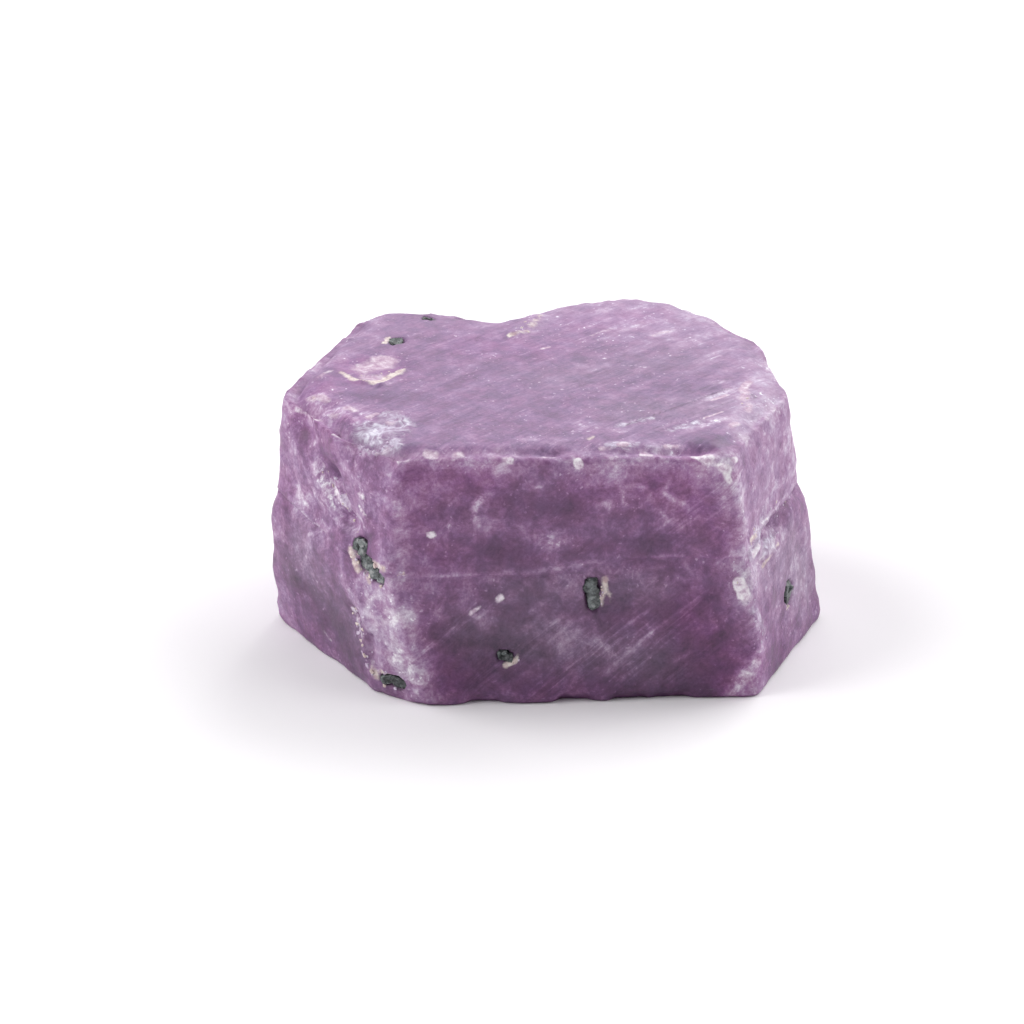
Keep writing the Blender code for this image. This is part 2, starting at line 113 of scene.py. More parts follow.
# Hollows pressed along lines, or ribs where the depth is negative: (start, end, width, depth).
HOLLOWS = (
    # the chips off the top's left corners and the front right one
    ((-9.0, -8.2, 12.4), (-7.4, -9.6, 12.4), 0.80, 0.35),
    ((-8.6, -7.0, 12.8), (-7.0, -6.4, 12.8), 0.70, 0.12),
    ((-8.4, -6.4, 12.8), (-6.6, -6.2, 12.8), 0.16, -0.12),
    ((-8.3, -8.6, 12.7), (-6.9, -8.9, 12.7), 0.22, -0.14),
    ((-6.6, -8.2, 12.8), (-6.4, -5.6, 12.8), 0.18, -0.10),
    # the upper left rim, rolled over
    ((-12.1, -3.6, 12.9), (-9.4, -7.5, 12.9), 0.95, 0.42),
    # the right back corner, rounded off, and the right rim, rolled over
    ((8.7, 5.9, 12.9), (9.6, 4.6, 12.6), 0.80, 0.22),
    ((9.4, -7.4, 12.9), (11.0, -3.4, 12.9), 0.90, 0.20),
    ((7.9, -9.7, 11.8), (7.9, -9.7, 12.4), 0.45, 0.16),
    # dents and knobs along the worn rim at the left
    ((-11.7, -3.9, 11.7), (-11.3, -4.7, 11.4), 0.45, 0.16),
    ((-10.9, -5.5, 11.6), (-10.6, -6.0, 11.5), 0.40, 0.14),
    ((-12.1, -2.9, 12.5), (-12.0, -3.3, 12.2), 0.40, -0.12),
    ((-10.6, -5.2, 12.6), (-10.3, -5.6, 12.6), 0.45, -0.12),
    ((-9.6, -6.2, 12.7), (-9.3, -6.6, 12.7), 0.40, -0.10),
    # the shallow scar on the top, with the lump beside it
    ((-9.1, 0.3, 12.8), (-7.7, 0.5, 12.8), 0.85, 0.16),
    ((-8.6, -0.8, 12.8), (-7.7, -1.0, 12.8), 0.55, 0.14),
    ((-9.2, -1.4, 12.8), (-7.9, -2.2, 12.8), 0.16, -0.10),
    ((-7.9, -2.2, 12.8), (-6.9, -0.2, 12.8), 0.16, -0.10),
    ((-10.6, -3.6, 12.7), (-10.4, -1.8, 12.7), 0.55, -0.14),
    # the knob on the bite's rim
    ((-1.6, 4.3, 12.8), (-0.5, 6.4, 12.7), 0.55, -0.16),
    # the sloping break down the left, and the rib beside it
    ((-11.6, -4.6, 11.5), (-10.2, -6.6, 10.1), 0.60, 0.26),
    ((-10.2, -6.6, 10.1), (-9.5, -7.5, 8.4), 0.85, 0.36),
    ((-9.5, -7.5, 8.4), (-8.8, -8.4, 7.5), 0.60, 0.30),
    ((-10.1, -6.4, 10.4), (-9.3, -7.8, 8.4), 0.13, 0.12),
    ((-10.5, -6.0, 10.4), (-9.6, -7.3, 8.6), 0.16, -0.12),
    ((-9.8, -7.2, 12.0), (-8.9, -8.1, 8.6), 0.40, 0.14),
    # the crumbled edge at the lower left
    ((-9.2, -7.8, 3.8), (-8.5, -8.7, 2.8), 0.35, 0.20),
    ((-8.5, -8.7, 2.8), (-8.2, -8.9, 1.1), 0.40, 0.22),
    # the ledge along the seam at the right
    ((10.1, -6.7, 7.0), (9.9, -6.9, 7.2), 0.32, 0.20),
    ((10.6, -5.3, 7.1), (10.4, -5.6, 7.3), 0.30, 0.18),
    ((9.5, -7.9, 6.6), (9.7, -7.5, 6.2), 0.35, 0.14),
    ((9.2, -8.4, 7.9), (9.9, -6.8, 7.9), 0.45, 0.18),
    ((10.9, -4.0, 6.9), (11.9, -2.0, 6.9), 0.45, -0.12),
    ((9.4, -8.2, 7.0), (9.9, -7.0, 7.4), 0.14, -0.12),
    ((10.0, -6.9, 6.3), (10.3, -6.2, 7.2), 0.12, -0.12),
    ((10.4, -5.9, 6.5), (10.7, -5.1, 7.3), 0.12, -0.12),
    ((9.7, -7.6, 5.9), (10.6, -5.6, 6.2), 0.14, -0.10),
    # scallops under the base's edge, and the hollow at its left corner
    ((0.6, -9.8, 0.0), (1.6, -9.8, 0.0), 0.40, 0.45),
    ((3.2, -9.7, 0.0), (4.1, -9.6, 0.0), 0.40, 0.45),
    ((5.0, -9.5, 0.0), (6.2, -9.5, 0.0), 0.35, 0.30),
    ((-3.6, -9.9, 0.0), (-2.6, -9.9, 0.0), 0.35, 0.22),
    ((-7.9, -9.1, 0.1), (-6.9, -9.7, 0.1), 0.45, 0.14),
    # breaks round the back
    ((-5.2, 6.6, 12.2), (-3.6, 6.4, 9.4), 0.65, 0.30),
    ((-2.9, 6.8, 11.6), (-0.2, 7.2, 10.2), 0.60, 0.32),
    ((0.9, 8.6, 11.2), (2.2, 9.3, 8.6), 0.60, 0.28),
    ((-3.8, 7.9, 6.2), (-0.8, 8.4, 4.6), 0.80, 0.30),
    ((6.6, 9.6, 12.4), (7.7, 8.6, 11.6), 0.60, 0.30),
    ((-8.8, 7.2, 12.4), (-8.0, 7.4, 11.8), 0.50, 0.28),
    ((8.6, 7.2, 3.0), (9.7, 6.3, 1.4), 0.70, 0.30),
)

# Pits: (place, the way it faces, half its size across, up the skin and inwards).
PITS = (
    ((-7.36, 3.36, 12.8), (0, 0, 1), (0.42, 0.46, 0.30)),
    ((-5.93, 6.45, 12.75), (0, 0.3, 1), (0.36, 0.26, 0.25)),
    ((-4.41, 6.70, 12.55), (0, 0.8, 1), (0.20, 0.20, 0.20)),
    ((-8.84, -8.17, 7.26), (-0.75, -0.65, 0.1), (0.46, 0.46, 0.32)),
    ((-8.40, -8.66, 6.62), (-0.7, -0.7, 0), (0.64, 0.50, 0.36)),
    ((-7.94, -9.18, 6.30), (-0.6, -0.8, 0), (0.50, 0.42, 0.32)),
    ((-7.30, -9.35, 0.95), (-0.45, -0.9, 0), (0.72, 0.36, 0.34)),
    ((-2.12, -9.74, 2.48), (0, -1, 0), (0.40, 0.30, 0.30)),
    ((1.86, -9.57, 5.60), (0, -1, 0), (0.40, 0.88, 0.34)),
    ((11.31, -4.79, 3.32), (0.91, -0.4, 0), (0.52, 0.56, 0.34)),
)
# The share of that size that is pressed in, how square and steep a pit is, and how far to either
# side of the skin it reaches. Then how ragged its rim is, with the noise's (size, seed).
PIT_ROOM, PIT_SQUARE, PIT_STEEP, PIT_REACH = 0.98, 2.6, 0.4, 1
PIT_RAGGED, PIT_RAG = 0.40, (0.3, 61)

# Stains of the skin and marks of painted light and shade, laid along lines as the hollows are: (start, end,
# width, strength).
# First, where it is frosted by wear and by small breaks.
PALE = (
    # the upper left rim
    ((-9.2, -7.8, 12.2), (-7.7, -8.6, 12.6), 0.55, 0.5),
    ((-11.9, -2.6, 12.6), (-9.4, -6.4, 12.6), 1.00, 0.6),
    ((-9.9, -4.4, 12.8), (-9.0, -5.4, 12.8), 0.70, 0.6),
    ((-11.0, 0.0, 12.8), (-9.4, 2.0, 12.8), 0.60, 0.4),
    # the top's front edge
    ((-6.6, -9.4, 12.6), (8.1, -9.3, 12.6), 0.50, 0.30),
    ((-1.0, -8.3, 12.8), (0.7, -8.6, 12.8), 0.45, 0.5),
    ((1.3, -6.7, 12.8), (2.9, -7.3, 12.8), 0.50, 0.5),
    ((3.0, -8.8, 12.8), (6.0, -8.8, 12.7), 0.40, 0.6),
    ((6.6, -9.4, 12.6), (8.2, -9.5, 11.8), 0.40, 0.25),
    # the scraped corner at the top's right
    ((6.1, -7.0, 12.8), (7.9, -5.9, 12.8), 0.30, 0.7),
    ((6.6, -4.0, 12.8), (8.4, -2.6, 12.8), 0.35, 0.7),
    ((7.6, -1.9, 12.8), (8.4, -1.6, 12.8), 0.25, 0.6),
    ((9.0, -4.0, 12.7), (9.6, -0.9, 12.7), 0.60, 0.3),
    ((2.0, 4.0, 12.8), (3.1, 4.9, 12.8), 0.20, 0.7),
    ((5.0, 4.1, 12.8), (5.9, 4.7, 12.8), 0.20, 0.6),
    # the front right edge and the crumbled line beside it
    ((8.9, -9.3, 7.4), (9.5, -8.8, 4.6), 0.60, 0.18),
    ((9.2, -9.3, 4.3), (9.8, -8.8, 2.4), 0.45, 0.35),
    ((9.3, -8.4, 7.4), (11.3, -4.2, 7.6), 0.45, 0.45),
    ((8.5, -9.3, 0.5), (9.4, -9.0, 1.7), 0.42, 0.7),
    # the break down the left, and the left faces
    ((-11.0, -5.0, 10.6), (-10.3, -5.9, 9.6), 0.50, 0.55),
    ((-10.6, -5.8, 9.4), (-9.2, -7.3, 7.9), 0.70, 0.75),
    ((-9.9, -6.3, 9.6), (-8.5, -8.4, 8.3), 0.30, 0.60),
    ((-11.9, -4.2, 8.2), (-10.2, -6.3, 8.0), 0.70, 0.42),
    ((-11.4, -4.2, 11.0), (-11.6, -4.0, 9.0), 1.60, 0.12),
    ((-9.0, -8.2, 11.0), (-8.2, -8.9, 9.0), 1.10, 0.25),
    ((-9.6, -7.4, 6.6), (-8.8, -8.2, 4.6), 1.00, 0.25),
    # the pale corner of the lower slab
    ((-7.6, -9.6, 6.0), (-6.4, -9.9, 1.6), 0.95, 0.32),
    ((-7.6, -9.4, 2.2), (-6.0, -10.0, 0.6), 0.80, 0.35),
    # clouds on the front
    ((-4.9, -9.8, 6.2), (-1.0, -9.8, 6.3), 0.50, 0.30),
    ((0.4, -9.7, 6.4), (4.0, -9.5, 6.4), 0.80, 0.30),
    ((-3.5, -9.8, 9.3), (-3.2, -9.8, 10.4), 0.40, 0.50),
    ((-1.2, -9.8, 8.4), (0.2, -9.8, 8.2), 0.45, 0.45),
    ((-1.6, -9.8, 3.6), (1.0, -9.7, 3.9), 0.45, 0.32),
    ((-6.2, -9.9, 0.5), (6.0, -9.6, 0.4), 0.26, 0.35),
    ((2.4, -9.8, 11.8), (4.8, -9.7, 12.0), 0.50, 0.25),
    # worn edges and clouds round the back
    ((6.6, 9.8, 12.0), (7.2, 9.8, 8.4), 0.60, 0.45),
    ((7.0, 9.9, 6.6), (7.3, 9.8, 1.0), 0.50, 0.45),
    ((-9.0, 7.6, 12.2), (-9.2, 7.8, 8.2), 0.55, 0.45),
    ((-9.3, 7.8, 6.8), (-9.1, 7.7, 0.8), 0.45, 0.40),
    ((2.0, 9.4, 4.6), (4.6, 9.7, 5.6), 0.50, 0.40),
    ((-11.5, 1.2, 10.4), (-10.9, 3.2, 9.4), 0.60, 0.40),
    ((-8.8, 7.6, 7.7), (6.8, 9.9, 7.7), 0.30, 0.45),
)
# Solid white chips, pinker at their edges.
WHITE = (
    # the scar on the top
    ((-8.9, 0.3, 12.8), (-7.9, 0.6, 12.8), 0.80, 0.80),
    ((-8.7, -0.9, 12.8), (-7.6, -1.0, 12.8), 0.50, 0.72),
    ((-8.2, 1.3, 12.8), (-7.6, 1.2, 12.8), 0.45, 0.58),
    # the front right edge and the base's right corner
    ((8.62, -9.4, 6.05), (8.85, -9.4, 5.45), 0.26, 2.2),
    ((8.9, -9.2, 0.8), (9.4, -9.0, 1.6), 0.36, 0.26),
    ((8.3, -9.3, 0.4), (8.9, -9.2, 0.6), 0.24, 0.26),
    ((9.2, -9.1, 3.4), (9.4, -9.0, 2.8), 0.16, 0.8),
    ((7.0, -9.2, 0.5), (7.6, -9.2, 0.5), 0.14, 0.7),
    # specks on the front
    ((-2.4, -9.8, 5.4), (-2.3, -9.8, 5.5), 0.20, 1.2),
    ((-5.5, -9.8, 8.7), (-5.4, -9.8, 8.7), 0.20, 1.1),
    ((-3.7, -9.8, 4.7), (-3.3, -9.8, 5.0), 0.12, 0.9),
    # along the top's front edge
    ((-5.55, -9.5, 12.6), (-5.3, -9.5, 12.6), 0.30, 1.3),
    ((-4.3, -9.5, 12.6), (-4.0, -9.5, 12.6), 0.20, 1.1),
    ((-1.4, -9.3, 12.7), (-0.9, -9.3, 12.7), 0.18, 1.0),
    ((-0.3, -9.5, 12.6), (0.1, -9.5, 12.6), 0.24, 1.1),
    ((4.1, -9.5, 12.6), (4.4, -9.5, 12.6), 0.22, 1.2),
    ((-7.0, -9.5, 12.5), (-6.6, -9.6, 12.5), 0.30, 1.1),
    ((-2.1, -9.8, 12.5), (-1.9, -9.8, 12.4), 0.24, 0.9),
    ((1.15, -9.9, 12.35), (1.2, -9.9, 12.2), 0.20, 1.5),
    ((2.2, -9.2, 12.8), (2.6, -9.2, 12.8), 0.20, 1.2),
    ((3.1, -8.9, 12.8), (3.3, -8.9, 12.8), 0.22, 1.2),
    ((5.1, -8.9, 12.7), (5.6, -8.9, 12.7), 0.20, 0.8),
    ((6.4, -9.5, 12.6), (6.9, -9.6, 12.4), 0.26, 1.5),
    ((7.2, -9.6, 12.3), (7.9, -9.5, 11.8), 0.20, 1.5),
    ((8.2, -9.5, 12.3), (8.5, -9.2, 12.1), 0.18, 1.3),
    ((7.9, -9.6, 11.5), (8.0, -9.6, 11.3), 0.16, 1.1),
    # blobs over the upper left rim
    ((-11.8, -2.8, 12.6), (-11.6, -3.0, 12.6), 0.30, 1.0),
    ((-11.2, -3.1, 12.7), (-11.0, -3.3, 12.7), 0.26, 1.0),
    ((-10.6, -3.5, 12.8), (-10.4, -3.8, 12.8), 0.28, 1.0),
    ((-11.9, -3.6, 12.2), (-11.5, -4.1, 12.2), 0.22, 0.8),
    ((-10.3, -5.0, 12.7), (-10.0, -5.3, 12.7), 0.28, 0.9),
    ((-9.4, -4.8, 12.8), (-9.1, -5.0, 12.8), 0.30, 0.9),
    ((-9.9, -6.6, 12.4), (-9.6, -6.9, 12.4), 0.24, 1.0),
    ((-10.9, -4.7, 12.2), (-10.6, -5.1, 12.1), 0.20, 0.8),
    ((-10.9, -1.0, 12.8), (-10.4, -0.4, 12.8), 0.22, 0.7),
    ((-11.7, -4.1, 11.0), (-11.9, -3.9, 10.0), 0.16, 0.45),
    ((-11.2, -4.7, 11.2), (-11.4, -4.4, 10.4), 0.12, 0.45),
    # under the crust
    ((-9.1, -7.9, 12.4), (-8.6, -8.4, 12.4), 0.30, 1.2),
    ((-8.1, -8.7, 12.5), (-7.5, -9.0, 12.6), 0.34, 1.3),
    ((-7.4, -6.4, 12.8), (-7.0, -5.9, 12.8), 0.22, 0.9),
    ((-8.4, -5.8, 12.8), (-8.0, -5.4, 12.8), 0.22, 0.8),
    ((-7.4, -9.6, 12.2), (-7.1, -9.7, 12.2), 0.20, 0.9),
    # the break down the left
    ((-8.8, -8.4, 10.1), (-8.6, -8.5, 10.0), 0.20, 0.9),
    ((-9.0, -8.2, 9.2), (-8.5, -8.7, 8.7), 0.14, 1.0),
    ((-8.75, -8.3, 9.4), (-8.3, -8.9, 8.8), 0.12, 0.9),
    ((-10.5, -5.6, 10.3), (-9.9, -6.4, 9.3), 0.18, 0.50),
    ((-9.9, -6.5, 9.2), (-9.1, -7.5, 8.2), 0.26, 0.60),
    ((-10.9, -5.5, 9.0), (-10.2, -6.3, 8.4), 0.24, 0.45),
    ((-9.0, -8.0, 8.8), (-8.6, -8.4, 8.3), 0.16, 0.9),
    ((-8.46, -8.4, 7.1), (-8.44, -8.4, 7.0), 0.14, 1.3),
    # the crumbled edge at the lower left
    ((-9.25, -7.55, 3.8), (-9.0, -7.8, 3.4), 0.18, 1.0),
    ((-8.95, -7.9, 3.1), (-8.6, -8.3, 2.4), 0.16, 0.7),
    ((-8.5, -8.6, 2.0), (-8.3, -8.7, 1.6), 0.18, 0.9),
    ((-10.7, -5.2, 1.5), (-10.4, -5.7, 1.1), 0.22, 0.5),
    # lumps at the right end of the top
    ((9.0, -2.5, 12.8), (9.3, -1.7, 12.8), 0.26, 1.1),
    ((9.0, -3.6, 12.8), (9.1, -3.0, 12.8), 0.30, 1.0),
    ((9.1, -4.8, 12.7), (9.2, -4.2, 12.7), 0.24, 0.9),
    ((8.2, -6.7, 12.8), (8.5, -6.4, 12.8), 0.24, 1.0),
    ((7.5, -3.8, 12.8), (8.2, -3.2, 12.8), 0.14, 1.1),
    ((6.9, -6.0, 12.8), (7.9, -5.2, 12.8), 0.10, 1.0),
    ((2.0, 4.0, 12.8), (3.1, 4.9, 12.8), 0.10, 0.9),
    ((5.0, 4.1, 12.8), (5.9, 4.7, 12.8), 0.10, 0.8),
    ((-0.4, 2.4, 12.8), (0.0, 2.7, 12.8), 0.12, 1.0),
    # the crumbled band at the right seam
    ((9.3, -8.4, 7.0), (9.6, -7.8, 7.2), 0.22, 0.9),
    ((9.5, -8.0, 6.4), (9.9, -7.2, 6.3), 0.16, 0.7),
    # chips round the back
    ((3.2, 9.4, 10.3), (3.6, 9.4, 9.9), 0.26, 0.55),
    ((-6.5, 8.1, 4.4), (-6.2, 8.1, 4.0), 0.22, 0.50),
    ((-11.7, 1.0, 5.0), (-11.5, 1.4, 4.8), 0.24, 0.60),
    ((7.0, 9.9, 3.4), (7.3, 9.7, 2.8), 0.26, 0.60),
    ((8.9, 6.6, 10.6), (9.4, 5.8, 10.2), 0.24, 0.50),
)
# Crusts of a bluish white mineral, drawn in curls.
CRUST = (
    ((-8.6, -7.0, 12.8), (-7.2, -7.0, 12.8), 0.95, 1.0),
    ((-7.4, -5.6, 12.8), (-7.1, -6.4, 12.8), 0.60, 1.0),
    ((-8.6, -8.3, 12.6), (-7.2, -8.7, 12.7), 0.60, 1.0),
    ((2.6, -8.9, 12.8), (3.8, -8.9, 12.8), 0.35, 0.8),
    ((3.0, -6.9, 12.8), (4.6, -6.0, 12.8), 0.30, 0.7),
    ((5.4, -7.3, 12.8), (6.9, -6.3, 12.8), 0.30, 0.8),
    ((9.3, -8.7, 7.2), (9.9, -7.0, 7.5), 0.45, 0.9),
    ((9.9, -7.0, 6.6), (10.9, -4.9, 7.3), 0.40, 0.8),
    ((9.3, -9.0, 4.4), (9.9, -8.2, 3.0), 0.45, 0.6),
    ((-10.6, -5.5, 10.2), (-9.6, -6.8, 8.6), 0.40, 0.35),
)
# Cream mineral round the scar and the grains, and on the ledges.
CREAM = (
    ((-9.9, -0.5, 12.7), (-9.2, -1.3, 12.7), 0.20, 1.1),
    ((-9.2, -1.3, 12.7), (-8.2, -1.8, 12.7), 0.26, 1.2),
    ((-8.2, -1.8, 12.7), (-7.1, -0.3, 12.8), 0.30, 1.1),
    ((-1.9, 4.0, 12.8), (-1.1, 4.4, 12.8), 0.24, 0.9),
    ((-0.9, 5.0, 12.8), (-0.4, 6.6, 12.7), 0.30, 0.7),
    ((-11.2, -3.1, 12.7), (-11.0, -3.3, 12.7), 0.20, 0.7),
    ((1.7, -8.3, 12.8), (1.8, -8.1, 12.8), 0.22, 0.7),
    ((-7.95, 3.1, 12.8), (-7.8, 3.8, 12.8), 0.16, 1.0),
    ((-9.3, -7.8, 7.0), (-8.9, -8.3, 6.2), 0.26, 0.9),
    ((-8.5, -8.5, 6.2), (-8.3, -8.8, 5.8), 0.16, 0.8),
    ((-9.1, -7.6, 7.9), (-8.9, -7.9, 7.7), 0.12, 0.8),
    ((-8.1, -9.0, 6.9), (-7.6, -9.6, 6.9), 0.26, 1.0),
    ((-8.0, -9.2, 6.5), (-7.9, -9.3, 6.1), 0.18, 0.8),
    ((-7.6, -9.6, 7.0), (-6.7, -9.9, 6.75), 0.12, 1.1),
    ((-10.3, -6.2, 9.8), (-9.6, -7.3, 8.6), 0.11, 0.8),
    ((-9.6, -7.3, 8.6), (-9.1, -7.9, 8.0), 0.16, 1.0),
    ((-8.3, -8.7, 1.3), (-8.1, -8.8, 0.9), 0.24, 0.8),
    ((-7.9, -9.0, 1.3), (-7.5, -9.3, 1.2), 0.16, 0.9),
    ((-1.7, -9.8, 2.25), (-2.1, -9.8, 2.0), 0.20, 1.0),
    ((-1.55, -9.8, 2.7), (-1.5, -9.8, 2.5), 0.10, 0.6),
    ((2.45, -9.5, 6.3), (2.45, -9.5, 5.7), 0.20, 0.75),
    ((2.30, -9.5, 5.4), (2.35, -9.5, 5.0), 0.16, 0.8),
    ((1.9, -9.6, 6.55), (2.6, -9.6, 6.6), 0.14, 0.6),
    ((2.7, -9.5, 5.6), (2.75, -9.5, 5.2), 0.12, 0.6),
    ((11.2, -5.0, 2.7), (11.3, -4.9, 2.7), 0.18, 0.9),
    ((9.2, -8.3, 7.7), (9.9, -7.0, 7.75), 0.14, 1.3),
    ((10.2, -6.3, 7.8), (10.9, -4.9, 7.85), 0.13, 1.2),
    ((11.2, -3.9, 7.8), (11.6, -2.9, 7.9), 0.14, 1.0),
    ((9.8, -7.5, 6.0), (10.6, -5.7, 6.3), 0.12, 1.0),
    ((9.2, -4.6, 12.7), (9.1, -6.2, 12.7), 0.18, 0.4),
    ((-0.6, 8.2, 7.7), (1.6, 9.0, 7.7), 0.18, 0.9),
    ((8.3, 7.6, 7.8), (9.2, 6.4, 7.8), 0.16, 0.9),
)
# Where the skin is broken up small, besides the frosted, crusted and cream places.
CRUMBLED = (
    ((9.0, -8.8, 7.4), (11.8, -2.4, 7.4), 0.50, 0.9),
    ((-7.8, -9.6, 6.7), (-5.6, -9.9, 6.5), 0.25, 0.8),
    ((-12.4, -2.8, 12.4), (-9.6, -7.2, 12.5), 0.80, 1.0),
    ((-9.0, -8.1, 3.6), (-8.1, -9.0, 0.8), 0.40, 1.0),
    ((-7.6, -9.6, 0.3), (9.2, -9.2, 0.3), 0.40, 0.7),
)
# Dark places and painted shade: painted shade in the gaps under ledges and beside grains, in cracks and under
# the scallops of the base's edge; and the saw's deepest lines on the top.
DARK_AND_SHADE = (
    ((9.45, -3.6, 12.8), (9.5, -3.3, 12.8), 0.13, 1.0),
    ((9.9, -6.9, 6.7), (10.05, -6.5, 7.1), 0.12, 0.8),
    ((10.3, -5.9, 6.7), (10.45, -5.5, 7.2), 0.12, 0.8),
    ((10.8, -4.9, 6.8), (10.9, -4.6, 7.2), 0.10, 0.6),
    ((-7.3, -9.7, 6.35), (-6.2, -9.9, 6.4), 0.16, 0.35),
    ((-9.4, -7.7, 8.3), (-8.7, -8.4, 7.7), 0.12, 0.5),
    ((-9.9, -6.6, 9.6), (-9.3, -7.6, 9.0), 0.12, 0.3),
    ((-9.3, -7.7, 9.0), (-8.6, -8.5, 8.0), 0.12, 0.7),
    ((3.4, -6.8, 12.8), (8.4, -2.4, 12.8), 0.08, 0.8),
    ((4.6, -7.2, 12.8), (8.6, -3.8, 12.8), 0.07, 0.7),
    ((6.3, -3.2, 12.8), (8.9, -0.9, 12.8), 0.07, 0.6),
    ((2.4, -4.4, 12.8), (6.4, -0.7, 12.8), 0.07, 0.5),
    ((-9.0, -8.0, 7.5), (-7.9, -9.3, 6.2), 0.34, 0.55),
    ((1.7, -9.6, 6.4), (2.2, -9.6, 5.2), 0.22, 0.4),
    ((-2.6, -9.8, 2.9), (-1.8, -9.8, 2.8), 0.20, 0.5),
    ((-8.0, -8.9, 0.9), (-6.7, -9.8, 0.6), 0.24, 0.5),
    ((0.5, -9.7, 0.1), (1.7, -9.6, 0.1), 0.22, 0.6),
    ((3.2, -9.6, 0.1), (4.2, -9.5, 0.1), 0.22, 0.6),
)
# Ruby that is paler, partly milky and partly painted sheen; clearer and redder; clouded grey; and deeper in
# colour.
MILKY_AND_SHEEN = (
    # the back and the right end of the top, and the whole right face: partly painted sheen, where a grazing
    # reflection of the bright light behind lightens them
    ((-1.0, 8.0, 12.8), (7.0, 9.0, 12.8), 4.00, 0.9),
    ((6.0, 5.0, 12.8), (10.0, 1.0, 12.8), 2.60, 0.8),
    ((8.8, -6.0, 12.8), (10.6, -1.4, 12.6), 1.30, 0.9),
    ((-10.6, 2.0, 12.8), (-8.0, 5.5, 12.8), 1.60, 0.5),
    ((9.6, -7.0, 11.6), (11.2, -3.4, 11.0), 1.90, 1.0),
    ((9.8, -6.8, 9.6), (11.4, -3.6, 8.6), 1.90, 0.8),
    ((10.2, -7.0, 5.6), (11.8, -3.6, 3.2), 2.30, 0.8),
    ((8.8, -9.4, 11.0), (9.0, -9.3, 4.4), 0.60, 0.8),
    ((5.6, -9.5, 10.0), (8.0, -9.5, 11.6), 0.90, 0.4),
    ((-5.6, -9.9, 11.2), (7.0, -9.7, 11.4), 0.80, 0.4),
    ((-6.4, -9.8, 4.4), (-5.8, -9.9, 1.6), 0.90, 0.5),
    ((10.4, -6.6, 6.4), (11.6, -4.0, 6.2), 0.80, 0.5),
    ((8.6, -9.3, 0.5), (9.4, -9.0, 1.7), 0.50, 1.0),
    ((-6.8, -9.9, 10.6), (-6.9, -9.8, 8.6), 0.70, 0.5),
    ((-6.0, -9.9, 12.2), (8.0, -9.7, 12.2), 0.45, 0.6),
    ((-11.6, -4.4, 7.0), (-11.4, -4.6, 5.0), 1.40, 0.3),
    ((-11.6, -4.0, 11.4), (-12.0, -3.6, 9.4), 1.20, 0.4),
    ((-8.0, -9.2, 5.0), (-7.2, -9.7, 2.0), 1.20, 0.75),
)
CLEAR = (
    ((-6.0, -9.9, 11.4), (-3.0, -9.8, 11.6), 1.20, 1.0),
    ((-6.6, -9.8, 9.6), (-5.0, -9.8, 7.6), 1.00, 0.6),
    ((1.6, -9.8, 11.0), (5.6, -9.7, 11.0), 1.10, 0.7),
    ((5.6, -9.7, 11.0), (8.0, -9.4, 8.2), 1.30, 0.8),
    ((6.4, -9.3, 4.5), (8.4, -9.2, 1.6), 1.40, 1.0),
    ((-5.4, -10.0, 4.2), (-4.6, -10.0, 1.2), 1.00, 0.8),
    ((-1.0, -9.9, 0.6), (2.0, -9.8, 0.6), 0.60, 0.4),
    ((-4.0, 3.0, 12.8), (-0.5, 2.4, 12.8), 1.60, 0.6),
    ((1.5, 5.5, 12.8), (4.5, 6.6, 12.8), 1.30, 0.6),
    ((-11.6, -3.4, 12.4), (-9.4, -6.2, 12.6), 1.20, 1.0),
    ((-10.9, -2.4, 12.8), (-9.6, -1.6, 12.8), 1.00, 0.8),
    ((-9.1, 0.3, 12.8), (-7.8, 0.0, 12.8), 1.30, 1.3),
    ((-9.6, -5.9, 12.7), (-8.9, -6.5, 12.7), 0.60, 1.0),
    ((-12.6, -2.9, 8.0), (-12.8, -2.6, 5.0), 1.20, 0.7),
    ((11.5, -3.5, 11.0), (11.9, -2.5, 8.6), 1.20, 0.3),
    ((8.6, -9.3, 0.5), (9.4, -9.0, 1.7), 0.60, 1.2),
    ((6.4, -9.5, 12.6), (8.1, -9.5, 11.5), 0.50, 0.8),
    ((4.0, 9.6, 9.0), (-4.0, 8.0, 5.0), 2.00, 0.7),
    ((9.5, 6.0, 6.0), (11.0, 2.0, 3.0), 1.80, 0.6),
)
CLOUDED = (
    ((-4.4, -9.8, 3.8), (-1.0, -9.8, 3.4), 1.30, 0.9),
    ((-2.0, -9.8, 5.8), (4.6, -9.5, 5.9), 1.10, 0.7),
    ((0.2, -9.8, 3.2), (4.6, -9.5, 2.0), 1.40, 0.9),
    ((-11.8, -3.8, 4.8), (-9.2, -7.2, 2.4), 2.20, 1.0),
    ((10.2, -7.0, 5.6), (11.8, -3.6, 3.2), 2.00, 0.6),
    ((3.5, -5.2, 12.8), (7.4, -4.4, 12.8), 1.60, 0.5),
    ((0.5, -1.0, 12.8), (6.0, 1.0, 12.8), 1.80, 0.4),
    ((11.4, -4.0, 5.6), (12.6, -2.0, 2.2), 1.20, 0.5),
    ((-11.5, 2.5, 9.0), (-10.0, 6.5, 5.0), 2.20, 0.6),
    ((7.5, 9.0, 4.0), (1.0, 9.5, 2.0), 1.80, 0.6),
)
